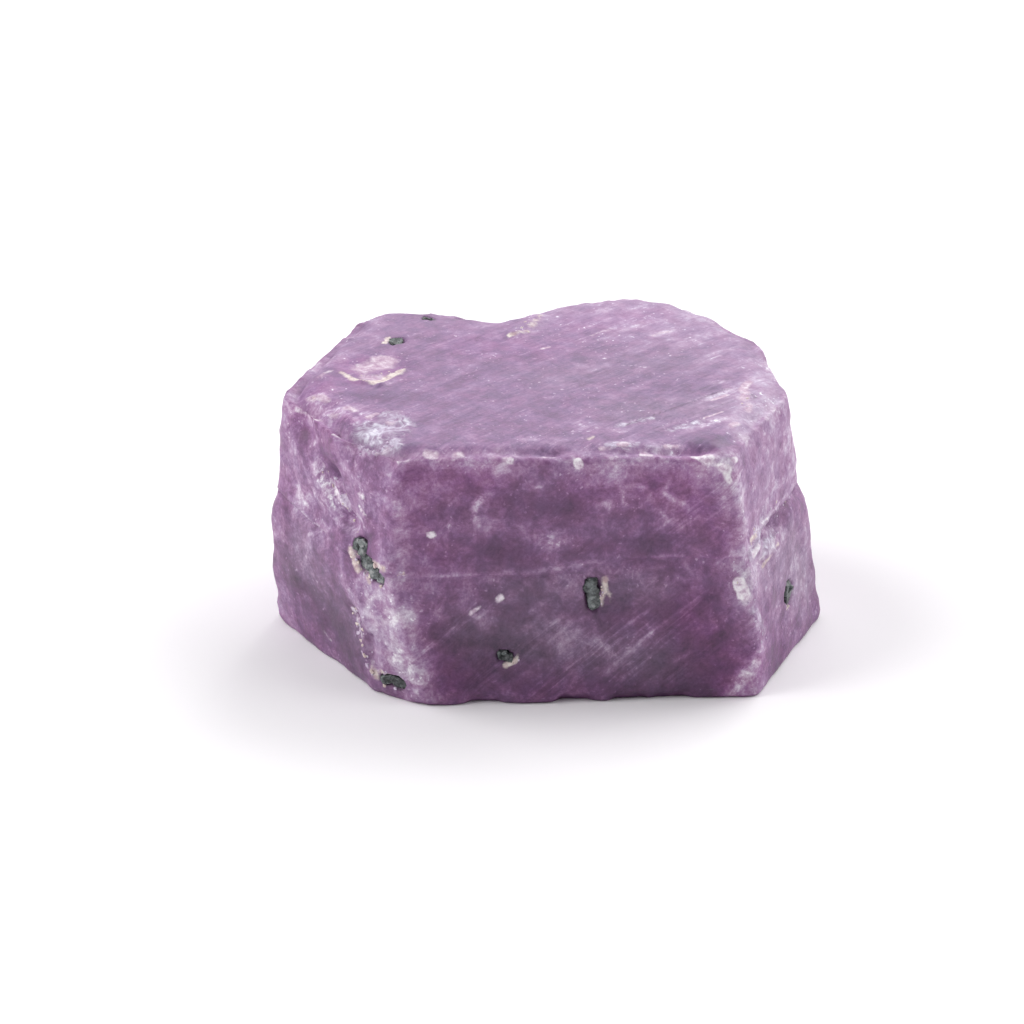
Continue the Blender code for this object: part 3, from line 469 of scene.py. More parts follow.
DEEP = (
    ((-1.9, -9.8, 10.3), (0.8, -9.8, 9.6), 1.00, 0.8),
    ((-3.6, -9.8, 7.9), (-1.0, -9.8, 7.7), 0.75, 0.9),
    ((2.0, -9.6, 7.9), (5.2, -9.5, 7.9), 0.80, 0.8),
    ((-4.4, -9.8, 3.2), (-1.2, -9.8, 2.6), 1.20, 1.0),
    ((-4.4, -9.9, 1.4), (8.0, -9.3, 1.2), 1.30, 0.9),
    ((-2.0, -9.8, 5.2), (7.0, -9.4, 5.4), 1.30, 0.4),
    ((6.0, -9.4, 1.4), (8.0, -9.3, 3.0), 1.30, 0.9),
    ((2.2, -9.6, 4.4), (5.5, -9.5, 4.2), 1.10, 0.7),
    ((-11.6, -3.8, 2.6), (-9.4, -6.8, 1.8), 1.60, 0.8),
    ((7.1, -8.8, 12.8), (8.0, -8.0, 12.8), 0.60, 1.0),
    ((6.4, -9.2, 12.7), (7.2, -8.6, 12.8), 0.40, 0.8),
    ((-9.6, -6.0, 12.7), (-8.8, -7.2, 12.6), 0.45, 1.0),
    ((-9.0, -3.2, 12.8), (-7.6, -3.8, 12.8), 0.50, 0.6),
    ((-12.2, -3.6, 11.7), (-11.6, -4.4, 11.2), 0.50, 0.8),
)
# Places scored by bundles of fine lines, then single light lines: scratches and healed cracks.
SCORED = (
    ((-6.0, -10.0, 2.9), (-3.3, -9.8, 4.9), 0.45, 0.7),
    ((-3.4, -9.9, 1.2), (0.4, -9.7, 4.2), 0.60, 0.6),
    ((0.0, -9.8, 0.8), (4.2, -9.6, 4.4), 0.70, 0.7),
    ((3.0, -9.6, 1.2), (6.8, -9.4, 5.0), 0.55, 0.7),
    ((5.4, -9.4, 0.9), (7.4, -9.4, 2.6), 0.35, 0.6),
    ((5.2, -9.7, 8.6), (8.5, -9.4, 11.2), 0.80, 0.4),
    ((-11.6, -4.2, 7.6), (-10.2, -6.2, 5.6), 0.60, 0.6),
    ((1.0, 9.2, 2.0), (4.6, 9.6, 5.0), 0.60, 0.8),
    ((-10.9, 3.2, 9.2), (-10.1, 5.2, 11.4), 0.60, 0.7),
)
SCRATCHES = (
    ((-7.3, -9.5, 2.1), (-5.0, -9.9, 5.1), 0.14, 0.7),
    ((-5.8, -10.0, 2.9), (-3.4, -9.8, 4.7), 0.14, 0.8),
    ((-3.2, -9.8, 0.8), (-0.6, -9.7, 3.0), 0.13, 0.5),
    ((0.2, -9.7, 2.9), (1.9, -9.6, 4.1), 0.13, 0.5),
    ((2.4, -9.6, 1.5), (4.6, -9.5, 3.5), 0.15, 0.8),
    ((4.6, -9.5, 3.5), (6.8, -9.4, 5.3), 0.13, 0.6),
    ((4.2, -9.4, 0.8), (6.6, -9.4, 2.6), 0.14, 0.6),
    ((0.0, -9.8, 0.6), (1.8, -9.6, 2.2), 0.13, 0.5),
    ((2.2, -9.6, 3.3), (3.0, -9.6, 2.4), 0.12, 0.8),
    ((5.8, -9.5, 8.8), (8.2, -9.4, 10.6), 0.13, 0.5),
    ((-7.7, -9.6, 6.75), (-4.9, -9.8, 6.62), 0.11, 1.0),
    ((-4.9, -9.8, 6.62), (-0.7, -9.7, 6.75), 0.10, 0.9),
    ((-0.7, -9.7, 6.75), (1.8, -9.6, 7.25), 0.13, 0.8),
    ((3.0, -9.5, 7.35), (6.0, -9.4, 7.42), 0.12, 0.8),
    ((6.0, -9.4, 7.3), (6.3, -9.4, 6.7), 0.12, 0.7),
    ((-3.6, -9.8, 9.9), (-3.2, -9.8, 10.5), 0.16, 0.9),
    ((-3.2, -9.8, 10.5), (-0.5, -9.9, 11.1), 0.13, 0.8),
    # long light streaks along the top
    ((-3.6, -5.6, 12.8), (0.6, -1.6, 12.8), 0.14, 0.5),
    ((-0.4, 0.6, 12.8), (4.8, 5.9, 12.8), 0.16, 0.6),
    ((1.6, -0.6, 12.8), (5.8, 3.6, 12.8), 0.14, 0.5),
    ((4.4, -7.6, 12.8), (8.2, -4.0, 12.8), 0.13, 0.8),
    ((3.2, -7.6, 12.8), (8.4, -2.7, 12.8), 0.12, 0.6),
    ((5.6, -8.0, 12.8), (7.6, -6.2, 12.8), 0.14, 0.8),
    ((-9.2, 3.9, 12.8), (-10.6, 2.4, 12.8), 0.13, 0.6),
    ((-6.4, -2.8, 12.8), (-2.6, 0.8, 12.8), 0.13, 0.4),
    ((-8.9, -8.0, 11.6), (-8.6, -8.5, 9.4), 0.09, 0.7),
    ((-11.4, -4.2, 12.4), (-10.9, -5.2, 11.4), 0.14, 1.0),
    ((-10.9, -5.2, 11.4), (-11.1, -4.7, 10.8), 0.12, 1.0),
    ((-11.0, -5.2, 10.8), (-9.6, -7.0, 8.9), 0.11, 0.9),
    ((-10.8, -5.6, 10.2), (-10.0, -6.6, 8.4), 0.11, 0.8),
    ((-11.6, -4.4, 10.0), (-10.8, -5.6, 8.2), 0.11, 0.7),
    ((-11.2, -5.0, 9.4), (-10.6, -5.9, 8.0), 0.11, 0.7),
    ((-11.9, -4.2, 7.4), (-9.9, -6.9, 6.7), 0.11, 0.8),
    ((8.9, -8.6, 7.7), (11.6, -2.8, 7.85), 0.12, 1.0),
    ((9.9, -7.2, 6.4), (10.3, -6.2, 6.9), 0.11, 0.8),
    ((10.1, -6.8, 6.2), (10.5, -5.8, 6.6), 0.11, 0.8),
    ((1.6, 9.3, 1.6), (4.8, 9.7, 4.4), 0.14, 0.8),
    ((-11.1, 2.6, 8.8), (-9.9, 5.8, 11.6), 0.13, 0.7),
    ((11.7, 2.6, 4.4), (11.2, 4.2, 6.2), 0.13, 0.7),
)
# Rings and arcs left by growth: (x, z), radius, and the arc's middle and half its length in degrees.
RINGS_ON_FRONT = (
    ((3.8, 10.6), 0.60, 100, 170),
    ((5.9, 10.9), 0.75, 190, 70),
    ((2.35, 9.85), 0.34, 60, 90),
    ((-2.5, 9.9), 0.95, 165, 60),
    ((4.6, 9.3), 0.55, 20, 80),
    ((0.4, 8.3), 0.50, 140, 90),
    ((1.6, 3.9), 0.45, 60, 80),
)
# A ring's line: half its width, its strength, where along the arc it has faded out, how far the
# skin has to face forwards to show it, and the noise that bends it (size, reach, seed).
RING_LINE, RING_STRENGTH, RING_FADED, RING_FACING = 0.12, 0.9, 1.5, (0.3, 0.8)
RING_BEND = (0.7, 0.12, 71)
# How far the skin has to face up to count as sawn, and how strong the painted shade inside a pit is, below
# what depth.
SAWN_FACING, PIT_SHADE, PIT_SHADE_FROM = (2 / 3, 1), 0.6, 0.05

# The whole numbers that lattice noise is hashed with.
HASH_AXES, HASH_SEED, HASH_MIX = (73856093, 19349663, 83492791), 40503, 1274126177
HASH_KEPT, HASH_LARGEST = 0x7FFFFFFF, 0xFFFF


def lattice_noise(points, size, seed):
    """Value noise from -1 to 1: hashed values at a cubic lattice's corners, blended by smooth shares.

    size is the lattice's spacing, one number or one for each axis.
    """
    scaled = points / np.array(size)
    cell = np.floor(scaled).astype(np.int64)
    share = scaled - cell
    share = share * share * (3 - 2 * share)
    total = np.zeros(len(scaled))
    for offset in np.ndindex(2, 2, 2):
        mixed = (cell + offset) @ np.array(HASH_AXES) + seed * HASH_SEED
        mixed = (mixed ^ (mixed >> 13)) * HASH_MIX & HASH_KEPT
        mixed = (mixed ^ (mixed >> 16)) & HASH_LARGEST
        value = mixed / (HASH_LARGEST / 2) - 1
        total += np.where(offset, share, 1 - share).prod(axis=1) * value
    return total


def layered(points, layers):
    """The sum over layers of (size, height, seed) of height times lattice noise of that size."""
    return sum(height * lattice_noise(points, size, seed) for size, height, seed in layers)


def strokes(points, lines):
    """The sum over lines of strength times e to minus (distance to the line, over its width) squared."""
    total = np.zeros(len(points))
    for start, end, width, strength in lines:
        start, along = np.array(start), np.subtract(end, start)
        share = np.clip((points - start) @ along / (along @ along), 0, 1)
        away = np.linalg.norm(points - start - share[:, None] * along, axis=1)
        total += strength * np.exp(-((away / width) ** 2))
    return total


def half_turned(angle):
    """The same angle, taken to between minus half a turn and half a turn."""
    return (angle + np.pi) % (2 * np.pi) - np.pi


def outline_places():
    """Spaces the points evenly round the crystal: each one's corner, turn share and face share.

    The whole way round is cut into each corner's arc (its radius times its turn) and the face
    after it. A point on an arc has a turn share from 0 to 1. On a face the turn is done.
    """
    along = np.roll(UNDER_SEAM, -1, axis=0) - UNDER_SEAM
    heading = np.arctan2(along[:, 1], along[:, 0])
    turn = np.abs(half_turned(heading - np.roll(heading, 1)))
    lengths = np.column_stack([ROUNDING * turn, np.linalg.norm(along, axis=1)]).ravel()
    ends = np.cumsum(lengths)
    walked = np.arange(4 * CELLS) / (4 * CELLS) * ends[-1]
    stretch = np.searchsorted(ends, walked, side="right")
    share = (walked - ends[stretch] + lengths[stretch]) / lengths[stretch]
    on_face = stretch % 2 == 1
    return stretch // 2, np.where(on_face, 1.0, share), np.where(on_face, share, 0.0)


def rounded_outlines(places, corner, turned, passed):
    """The rounded polygon through each row of corners, as points and outward directions.

    An arc's centre is its corner, moved in by its radius along both faces' normals over one
    plus their dot product. A point is its centre plus its radius times its direction: on an
    arc the direction turns from one normal to the next, and on a face the centre and radius
    run from this corner's to the next one's.
    """
    along = np.roll(places, -1, axis=1) - places
    along /= np.linalg.norm(along, axis=2)[..., None]
    normals = np.stack([along[..., 1], -along[..., 0]], axis=2)
    before = np.roll(normals, 1, axis=1)
    dots = (normals * before).sum(axis=2)
    centres = places - (ROUNDING / (1 + dots))[..., None] * (normals + before)
    angle = np.arctan2(normals[..., 1], normals[..., 0])
    start = np.roll(angle, 1, axis=1)
    turn = half_turned(angle - start)
    facing = start[:, corner] + turn[:, corner] * turned
    outward = np.stack([np.cos(facing), np.sin(facing)], axis=2)
    after = (corner + 1) % len(CORNERS)
    passed = passed[:, None]
    middle = centres[:, corner] * (1 - passed) + centres[:, after] * passed
    radius = ROUNDING[corner, None] * (1 - passed) + ROUNDING[after, None] * passed
    return middle + radius * outward, outward


def wall_levels():
    """What every ring of the wall is made of, bottom to top, one row for each ring.

    Columns: the shares of the four outlines; the shares of the seam's height, its gap and the
    crystal's height; the wear of base, shoulder, groove and rim; the tilt; the chipping; the
    shoulder's wear where the seam is healed; and which side of the healed seam it lies on.
    """
    low = np.linspace(0, BASE_SHARE, EDGE_ROWS, endpoint=False)
    low = np.concatenate([low, np.linspace(BASE_SHARE, 1, LOWER_ROWS)])
    near_seam = np.clip((low - 1) / SHOULDER_SHARE + 1, 0, 1)
    none = np.zeros_like(low)
    base_wear = np.clip(1 - low / BASE_SHARE, 0, 1) ** 2
    lower = [1 - low, low, none, none, low, -low, none, base_wear, near_seam**2, none, none]
    lower += [near_seam * SHOULDER_TILT, none, near_seam**2, near_seam**2]
    gap = np.array(SEAM_RINGS)
    none, one = np.zeros_like(gap), np.ones_like(gap)
    deep = 1 - gap**2
    under_ledge = GROOVE_PER_SHOULDER * np.where(gap < 0, 1, deep)
    groove = [none, 0.5 - gap / 2, 0.5 + gap / 2, none, one, gap, none, none, under_ledge, deep]
    groove += [none, none, none, 0.5 - gap / 2, -gap]
    up = np.linspace(0, 1 - RIM_SHARE, UPPER_ROWS, endpoint=False)
    up = np.concatenate([up, np.linspace(1 - RIM_SHARE, 1, RIM_ROWS)])
    none = np.zeros_like(up)
    rim = np.clip((up - 1) / RIM_SHARE + 1, 0, 1)
    chipped = np.interp(up, *WALL_CHIPPED)
    upper = [none, none, 1 - up, up, 1 - up, 1 - up, up, none, none, none]
    healed = -(np.clip(1 - up / HEALED_SHARE, 0, 1) ** 2)
    upper += [rim**RIM_POWER, rim * RIM_TILT, chipped, none, healed]
    return np.concatenate([np.column_stack(part) for part in (lower, groove, upper)])


def wall_surface():
    """The wall as a grid of rings by points: places, directions, chipping and how near an edge."""
    corner, turned, passed = outline_places()
    station = corner + passed
    levels = wall_levels()
    of_seam, of_gap, of_height, base_wear, shoulder_wear, groove, rim_wear = levels[:, 4:11].T[..., None]
    tilt, chipped, healed_wear, healed_side = levels[:, 11:].T[..., None]
    outlines = np.stack([BASE, UNDER_SEAM, OVER_SEAM, TOP])
    places = np.tensordot(levels[:, :4], outlines, axes=1)
    flat, outward = rounded_outlines(places, corner, turned, passed)

    def round_the(values):
        return np.interp(station, np.arange(len(CORNERS) + 1), [*values, values[0]])

    seam = np.interp(station, SEAM_STATIONS, SEAM_HEIGHTS)
    openness = np.interp(station, OPEN_STATIONS, OPENNESS)
    under, over = levels[:, 1].argmax(), levels[:, 2].argmax()
    step = (flat[under] - flat[over]) * (1 - openness[:, None]) / 2
    flat = flat - healed_side[..., None] * step
    shoulder_wear = shoulder_wear * openness + healed_wear * (1 - openness)
    drawn = base_wear * BASE_INSET + shoulder_wear * round_the(SHOULDER)
    drawn = drawn + groove * GROOVE_DEPTH * openness + rim_wear * round_the(RIM)
    bite = (levels[:, :4] @ BITE_DEPTHS)[:, None] * np.interp(outward[..., 1], BITE_FACING, (0, 1))
    drawn = drawn + bite * np.exp(-(((flat[..., 0] - BITE_X) / BITE_WIDTH) ** 2))
    gap = SEAM_GAP * np.maximum(openness, HEALED_GAP)
    heights = of_seam * seam + of_gap * gap + of_height * HEIGHT
    heights = heights - rim_wear * round_the(RIM_DROP)
    points = np.concatenate([flat - drawn[..., None] * outward, heights[..., None]], axis=2)
    tilt = tilt + np.zeros_like(heights)
    level_way = outward * np.cos(tilt)[..., None]
    directions = np.concatenate([level_way, np.sin(tilt)[..., None]], axis=2)
    ends = np.linalg.norm(np.roll(UNDER_SEAM, -1, axis=0) - UNDER_SEAM, axis=1)[corner]
    from_edge = np.minimum(passed, 1 - passed) * ends * (passed > 0)
    chipped = chipped + np.zeros_like(heights)
    edge = np.maximum(chipped, np.exp(-((from_edge / EDGE_REACH) ** 2)))
    return points, directions, chipped, edge


def square_places():
    """For every point of the top's square grid: how far out it is, and where round the rim.

    A point's share is the larger of its two distances from the middle, and its place round the
    rim is where the ray through it meets the square's edge, counted in cells.
    """
    step = np.arange(CELLS + 1) / CELLS * 2 - 1
    s, t = np.meshgrid(step, step, indexing="ij")
    share = np.maximum(np.abs(s), np.abs(t))
    safe = np.where(share == 0, 1, share)
    across, up = (s / safe + 1) / 2, (t / safe + 1) / 2
    side = np.select([t <= -share, s >= share, t >= share], [0, 1, 2], 3)
    rounded = np.select([side == 0, side == 1, side == 2], [across, 1 + up, 3 - across], 4 - up)
    return share, rounded * CELLS % (4 * CELLS)


def pit_depth(points):
    """How deep the pits press in: each one's depth times a low power of what is left inside it.

    What is left is one plus its rag, less a power of each share of the way to its sides.
    """
    total = np.zeros(len(points))
    ragged = PIT_RAGGED * lattice_noise(points, *PIT_RAG)
    for place, facing, half_size in PITS:
        turn = np.array(Vector(facing).to_track_quat("Z", "Y").to_matrix())
        across, up, out = ((points - place) @ turn).T
        width, height, depth = np.array(half_size) * PIT_ROOM
        left = 1 + ragged - np.abs(across / width) ** PIT_SQUARE - np.abs(up / height) ** PIT_SQUARE
        total += depth * np.clip(left, 0, 1) ** PIT_STEEP * (np.abs(out) < PIT_REACH)
    return total


def relief(points, directions, chipped, edge):
    """How far the skin stands out, in millimetres.

    It is the sum of lumps and fine roughness, both lower on the sawn top, rough edges, crumbled
    places and saw lines, less the chips, the hollows and the pits.
    """
    steep = 1 - directions[:, 2] ** 2
    out = layered(points, LUMPS) * (SAWN_SHARE + (1 - SAWN_SHARE) * steep)
    out += layered(points, ROUGHNESS_LAYERS) * (SAWN_ROUGH_SHARE + (1 - SAWN_ROUGH_SHARE) * steep)
    for size, depth, start, seed in CHIP_LAYERS:
        out -= depth * chipped * np.clip(lattice_noise(points, size, seed) - start, 0, 1)
    crumbled = np.clip(sum(strokes(points, lines) for lines in (PALE, CREAM, CRUST, CRUMBLED)), 0, 1)
    out += edge * layered(points, EDGE_LAYERS) + crumbled * layered(points, CRUMBLE_LAYERS)
    along = np.array([np.cos(SAW_ANGLE), np.sin(SAW_ANGLE), 0.0])
    across = np.array([-np.sin(SAW_ANGLE), np.cos(SAW_ANGLE), 0.0])
    sawn = np.column_stack([points @ along, points @ across, points[:, 2]])
    out += SAW_HEIGHT * lattice_noise(sawn, SAW_SIZES, SAW_SEED) * (1 - steep)
    return out - strokes(points, HOLLOWS) - pit_depth(points)


def crystal_skin():
    """The whole skin: points, the ways they face before the relief, quads and triangles.

    The wall's rings are joined to a square grid across the top, whose border is the last ring.
    All of that is pushed out by the relief. The base is the first ring, shrunk in steps towards
    its middle and closed by a fan.
    """
    wall, facing, chipped, edge = wall_surface()
    rings, around = wall.shape[:2]
    number = np.arange(rings * around).reshape(rings, around)
    after = np.roll(number, -1, axis=1)
    quads = [np.stack([number[:-1], after[:-1], after[1:], number[1:]], axis=-1).reshape(-1, 4)]

    share, place = square_places()
    rim = wall[-1]
    middle = rim.mean(axis=0)
    low = np.floor(place).astype(int)
    part = (place - low)[..., None]
    beyond = rim[low % around] * (1 - part) + rim[(low + 1) % around] * part
    top = middle + share[..., None] * (beyond - middle)
    sunk = HEIGHT - beyond[..., 2]
    top[..., 2] = HEIGHT - sunk * np.clip((share - DROP_FROM) / (1 - DROP_FROM), 0, 1) ** 2
    inner = share < 1
    grid = number[-1][np.round(place).astype(int) % around]
    grid[inner] = rings * around + np.arange(inner.sum())
    cells = [grid[:-1, :-1], grid[1:, :-1], grid[1:, 1:], grid[:-1, 1:]]
    quads.append(np.stack(cells, axis=-1).reshape(-1, 4))
    top_chipped = np.interp(share[inner], *TOP_CHIPPED)
    lean = np.interp(share[inner], (LEAN_FROM, 1), (np.pi / 2, RIM_TILT))
    level = facing[-1, :, :2] / np.linalg.norm(facing[-1, :, :2], axis=1)[:, None]
    top_facing = np.column_stack([level[low[inner] % around] * np.cos(lean)[:, None], np.sin(lean)])

    points = np.concatenate([wall.reshape(-1, 3), top[inner]])
    ways = np.concatenate([facing.reshape(-1, 3), top_facing])
    chips = np.concatenate([chipped.ravel(), top_chipped])
    edges = np.concatenate([edge.ravel(), top_chipped])
    points = points + relief(points, ways, chips, edges)[:, None] * ways

    foot = points[:around]
    centre = foot.mean(axis=0)
    base = (centre + np.array(BASE_RINGS)[:, None, None] * (foot - centre)).reshape(-1, 3)
    base[:, 2] += BASE_GRIT * (1 + lattice_noise(base, BASE_GRIT_SIZE, BASE_GRIT_SEED))
    first = len(points)
    steps = np.concatenate([np.arange(len(base)).reshape(-1, around)[::-1] + first, number[:1]])
    beside = np.roll(steps, -1, axis=1)
    quads.append(np.stack([steps[:-1], beside[:-1], beside[1:], steps[1:]], axis=-1).reshape(-1, 4))
    fan = np.column_stack([np.full(around, first + len(base)), beside[0], steps[0]])

    ways = np.concatenate([ways, np.tile([0.0, 0.0, -1.0], (len(base) + 1, 1))])
    edges = np.concatenate([edges, np.zeros(len(base) + 1)])
    return np.concatenate([points, base, centre[None]]), ways, edges, np.concatenate(quads), fan


def mark(mesh, label, values):
    """Gives every point of a mesh its number, for its material to read by label."""
    mesh.attributes.new(label, "FLOAT", "POINT").data.foreach_set("value", values.astype(np.float32))


def laid_mesh(name, points, quads, triangles=(), marks=()):
    """A mesh object from arrays in millimetres, with a number for each point in each of its marks."""
    mesh = bpy.data.meshes.new(name)
    mesh.from_pydata(points * MM, [], [*np.asarray(quads).tolist(), *np.asarray(triangles).tolist()])
    for label in marks:
        mark(mesh, label, marks[label])
    mesh.update()
    piece = bpy.data.objects.new(name, mesh)
    bpy.context.scene.collection.objects.link(piece)
    return piece


def stains_and_painted_light(points, directions, edges):
    """Each stain of the skin at every point, from 0 to 1.

    Most are the strokes of their lines, and some are painted shade and sheen rather than stains:
    the dark places, the pits' shade and part of the milky paleness. A growth ring is e to minus
    (distance to its circle, over the line's width) squared, fading along its arc.
    """
    on_front = np.interp(-directions[:, 1], RING_FACING, (0, 1))
    rings = np.zeros(len(points))
    size, reach, seed = RING_BEND
    bent = points + reach * lattice_noise(points, size, seed)[:, None]
    for (x, z), radius, middle, spread in RINGS_ON_FRONT:
        across, up = bent[:, 0] - x, bent[:, 2] - z
        turn = half_turned(np.arctan2(up, across) - np.radians(middle))
        fade = np.clip(RING_FADED - np.abs(turn) / np.radians(spread), 0, 1)
        rings += fade * np.exp(-(((np.hypot(across, up) - radius) / RING_LINE) ** 2)) * on_front
    lines = {
        "pale": PALE,
        "milky_and_sheen": MILKY_AND_SHEEN,
        "crust": CRUST,
        "white": WHITE,
        "cream": CREAM,
        "dark": DARK_AND_SHADE,
        "clear": CLEAR,
        "clouded": CLOUDED,
        "deep": DEEP,
        "scored": SCORED,
        "scratch": SCRATCHES,
    }
    masks = {label: strokes(points, laid) for label, laid in lines.items()}
    # painted shade inside the pits
    masks["dark"] += PIT_SHADE * (pit_depth(points) > PIT_SHADE_FROM)
    masks["scratch"] += RING_STRENGTH * rings
    masks["worn"] = edges
    masks["sawn"] = np.interp(directions[:, 2], SAWN_FACING, (0, 1))
    return {label: np.clip(mask, 0, 1) for label, mask in masks.items()}


def new_finish(name):
    """A new material, with its nodes and the node that is its surface."""
    made = bpy.data.materials.new(name)
    made.use_nodes = True
    return made, made.node_tree, made.node_tree.nodes["Principled BSDF"]


def feed(tree, value, socket):
    """Sets a socket to a plain number or colour, or links it to another node's output."""
    if isinstance(value, tuple):
        socket.default_value = (*value, 1.0)
    elif isinstance(value, float):
        socket.default_value = value
    else:
        tree.links.new(value, socket)


def noise(tree, vector, size, detail=3.0, roughness=0.55, bend=0.0):
    """A noise texture whose largest features are about this many millimetres across."""
    made = tree.nodes.new("ShaderNodeTexNoise")
    made.inputs["Scale"].default_value = 1 / (size * MM)
    made.inputs["Detail"].default_value = detail
    made.inputs["Roughness"].default_value = roughness
    made.inputs["Distortion"].default_value = bend
    tree.links.new(vector, made.inputs["Vector"])
    return made.outputs["Fac"]


def drawn_noise(tree, vector, turn, sizes, detail=2.0):
    """A noise drawn out along a line: its sizes in millimetres on axes that are turned by turn."""
    turned = tree.nodes.new("ShaderNodeMapping")
    turned.vector_type = "TEXTURE"
    turned.inputs["Rotation"].default_value = turn
    turned.inputs["Scale"].default_value = sizes
    tree.links.new(vector, turned.inputs["Vector"])
    return noise(tree, turned.outputs["Vector"], 1.0, detail)


def ranged(tree, value, low, high, to_low=0.0, to_high=1.0):
    """value, taken from between low and high to between to_low and to_high, smoothly."""
    made = tree.nodes.new("ShaderNodeMapRange")
    made.interpolation_type = "SMOOTHSTEP"
    for label, number in (("From Min", low), ("From Max", high), ("To Min", to_low), ("To Max", to_high)):
        made.inputs[label].default_value = number
    tree.links.new(value, made.inputs["Value"])
    return made.outputs["Result"]


def product(tree, first, second):
    """first times second."""
    made = tree.nodes.new("ShaderNodeMath")
    made.operation = "MULTIPLY"
    tree.links.new(first, made.inputs[0])
    tree.links.new(second, made.inputs[1])
    return made.outputs["Value"]


def total(tree, start, *terms):
    """start plus the sum of value times weight over the terms."""
    for value, weight in terms:
        made = tree.nodes.new("ShaderNodeMath")
        made.operation = "MULTIPLY_ADD"
        for number, fed in enumerate((value, weight, start)):
            feed(tree, fed, made.inputs[number])
        start = made.outputs["Value"]
    return start


def ramp(tree, value, stops):
    """The colour at value on a ramp of (position, colour)."""
    made = tree.nodes.new("ShaderNodeValToRGB")
    elements = made.color_ramp.elements
    for number, (position, colour) in enumerate(stops):
        stop = elements[number] if number < 2 else elements.new(position)
        stop.position, stop.color = position, (*colour, 1.0)
    tree.links.new(value, made.inputs["Fac"])
    return made.outputs["Color"]


def layer(tree, share, under, over):
    """The colour over laid on the colour under by share."""
    made = tree.nodes.new("ShaderNodeMix")
    made.data_type = "RGBA"
    for label, value in (("Factor", share), ("A", under), ("B", over)):
        feed(tree, value, next(s for s in made.inputs if s.name == label and s.enabled))
    return next(s for s in made.outputs if s.enabled)


def tinted(tree, colour, hue, saturation, share=1.0):
    """The colour with its hue and saturation changed, by share. A hue of 0.5 is its own."""
    made = tree.nodes.new("ShaderNodeHueSaturation")
    for label, value in (("Color", colour), ("Hue", hue), ("Saturation", saturation), ("Fac", share)):
        feed(tree, value, made.inputs[label])
    return made.outputs["Color"]


def marked(tree, *labels):
    """The numbers that the piece's points carry under each label."""
    for label in labels:
        made = tree.nodes.new("ShaderNodeAttribute")
        made.attribute_name = label
        yield made.outputs["Fac"]


def bumped(tree, surface, height, strength, depth):
    """Bumps on the surface: a height of 1 stands out by depth in millimetres."""
    made = tree.nodes.new("ShaderNodeBump")
    feed(tree, strength, made.inputs["Strength"])
    feed(tree, depth * MM, made.inputs["Distance"])
    feed(tree, height, made.inputs["Height"])
    feed(tree, made.outputs["Normal"], surface.inputs["Normal"])


# How ruby looks from its clearest and darkest to its most frosted, on the walls and on the sawn
# top. In each ramp the two ends come first, because a new ramp has two stops already.
WALL_RAMP = (
    (0.00, (0.048, 0.013, 0.050)),
    (1.00, (0.84, 0.80, 0.86)),
    (0.22, (0.090, 0.030, 0.094)),
    (0.42, (0.155, 0.058, 0.160)),
    (0.56, (0.238, 0.102, 0.243)),
    (0.70, (0.360, 0.204, 0.372)),
    (0.85, (0.560, 0.445, 0.582)),
)
# The top's ramp is paler and greyer than the walls': partly the saw's whitening, partly painted sheen of the
# light on the top.
TOP_RAMP = (
    (0.00, (0.120, 0.062, 0.145)),
    (1.00, (0.84, 0.81, 0.90)),
    (0.25, (0.200, 0.108, 0.228)),
    (0.45, (0.290, 0.164, 0.314)),
    (0.60, (0.378, 0.240, 0.400)),
    (0.78, (0.520, 0.400, 0.555)),
)
# How white chips look from their hollows to their crests, on the walls and on the top, and then crusts and
# cream mineral.
# The chips' and crusts' ramps follow the noise that also bumps them: their darker hollows are painted
# shade and their lighter crests painted highlight.
WALL_CHALK = (
    (0.36, (0.52, 0.36, 0.50)),
    (0.64, (0.96, 0.92, 0.96)),
    (0.46, (0.72, 0.60, 0.71)),
    (0.56, (0.88, 0.82, 0.88)),
)
TOP_CHALK = (
    (0.36, (0.42, 0.26, 0.39)),
    (0.66, (0.78, 0.70, 0.77)),
    (0.47, (0.53, 0.37, 0.49)),
    (0.56, (0.64, 0.50, 0.61)),
)
CRUST_RAMP = (
    (0.36, (0.25, 0.15, 0.27)),
    (0.62, (0.82, 0.80, 0.90)),
    (0.45, (0.38, 0.28, 0.41)),
    (0.54, (0.57, 0.51, 0.64)),
)
CREAM_RAMP = ((0.38, (0.50, 0.35, 0.36)), (0.62, (0.82, 0.75, 0.69)))
# The colour of the dark places and of the painted shade in gaps, cracks, pits and under ledges.
DARK_AND_SHADE_COLOUR = (0.045, 0.026, 0.048)
RUBY_IOR = 1.77
# How the fine lines scored on the walls lean, and how far the saw's bands turn from its kerfs.
SCORE_ANGLE, BAND_TURN = np.radians(-42), 0.1


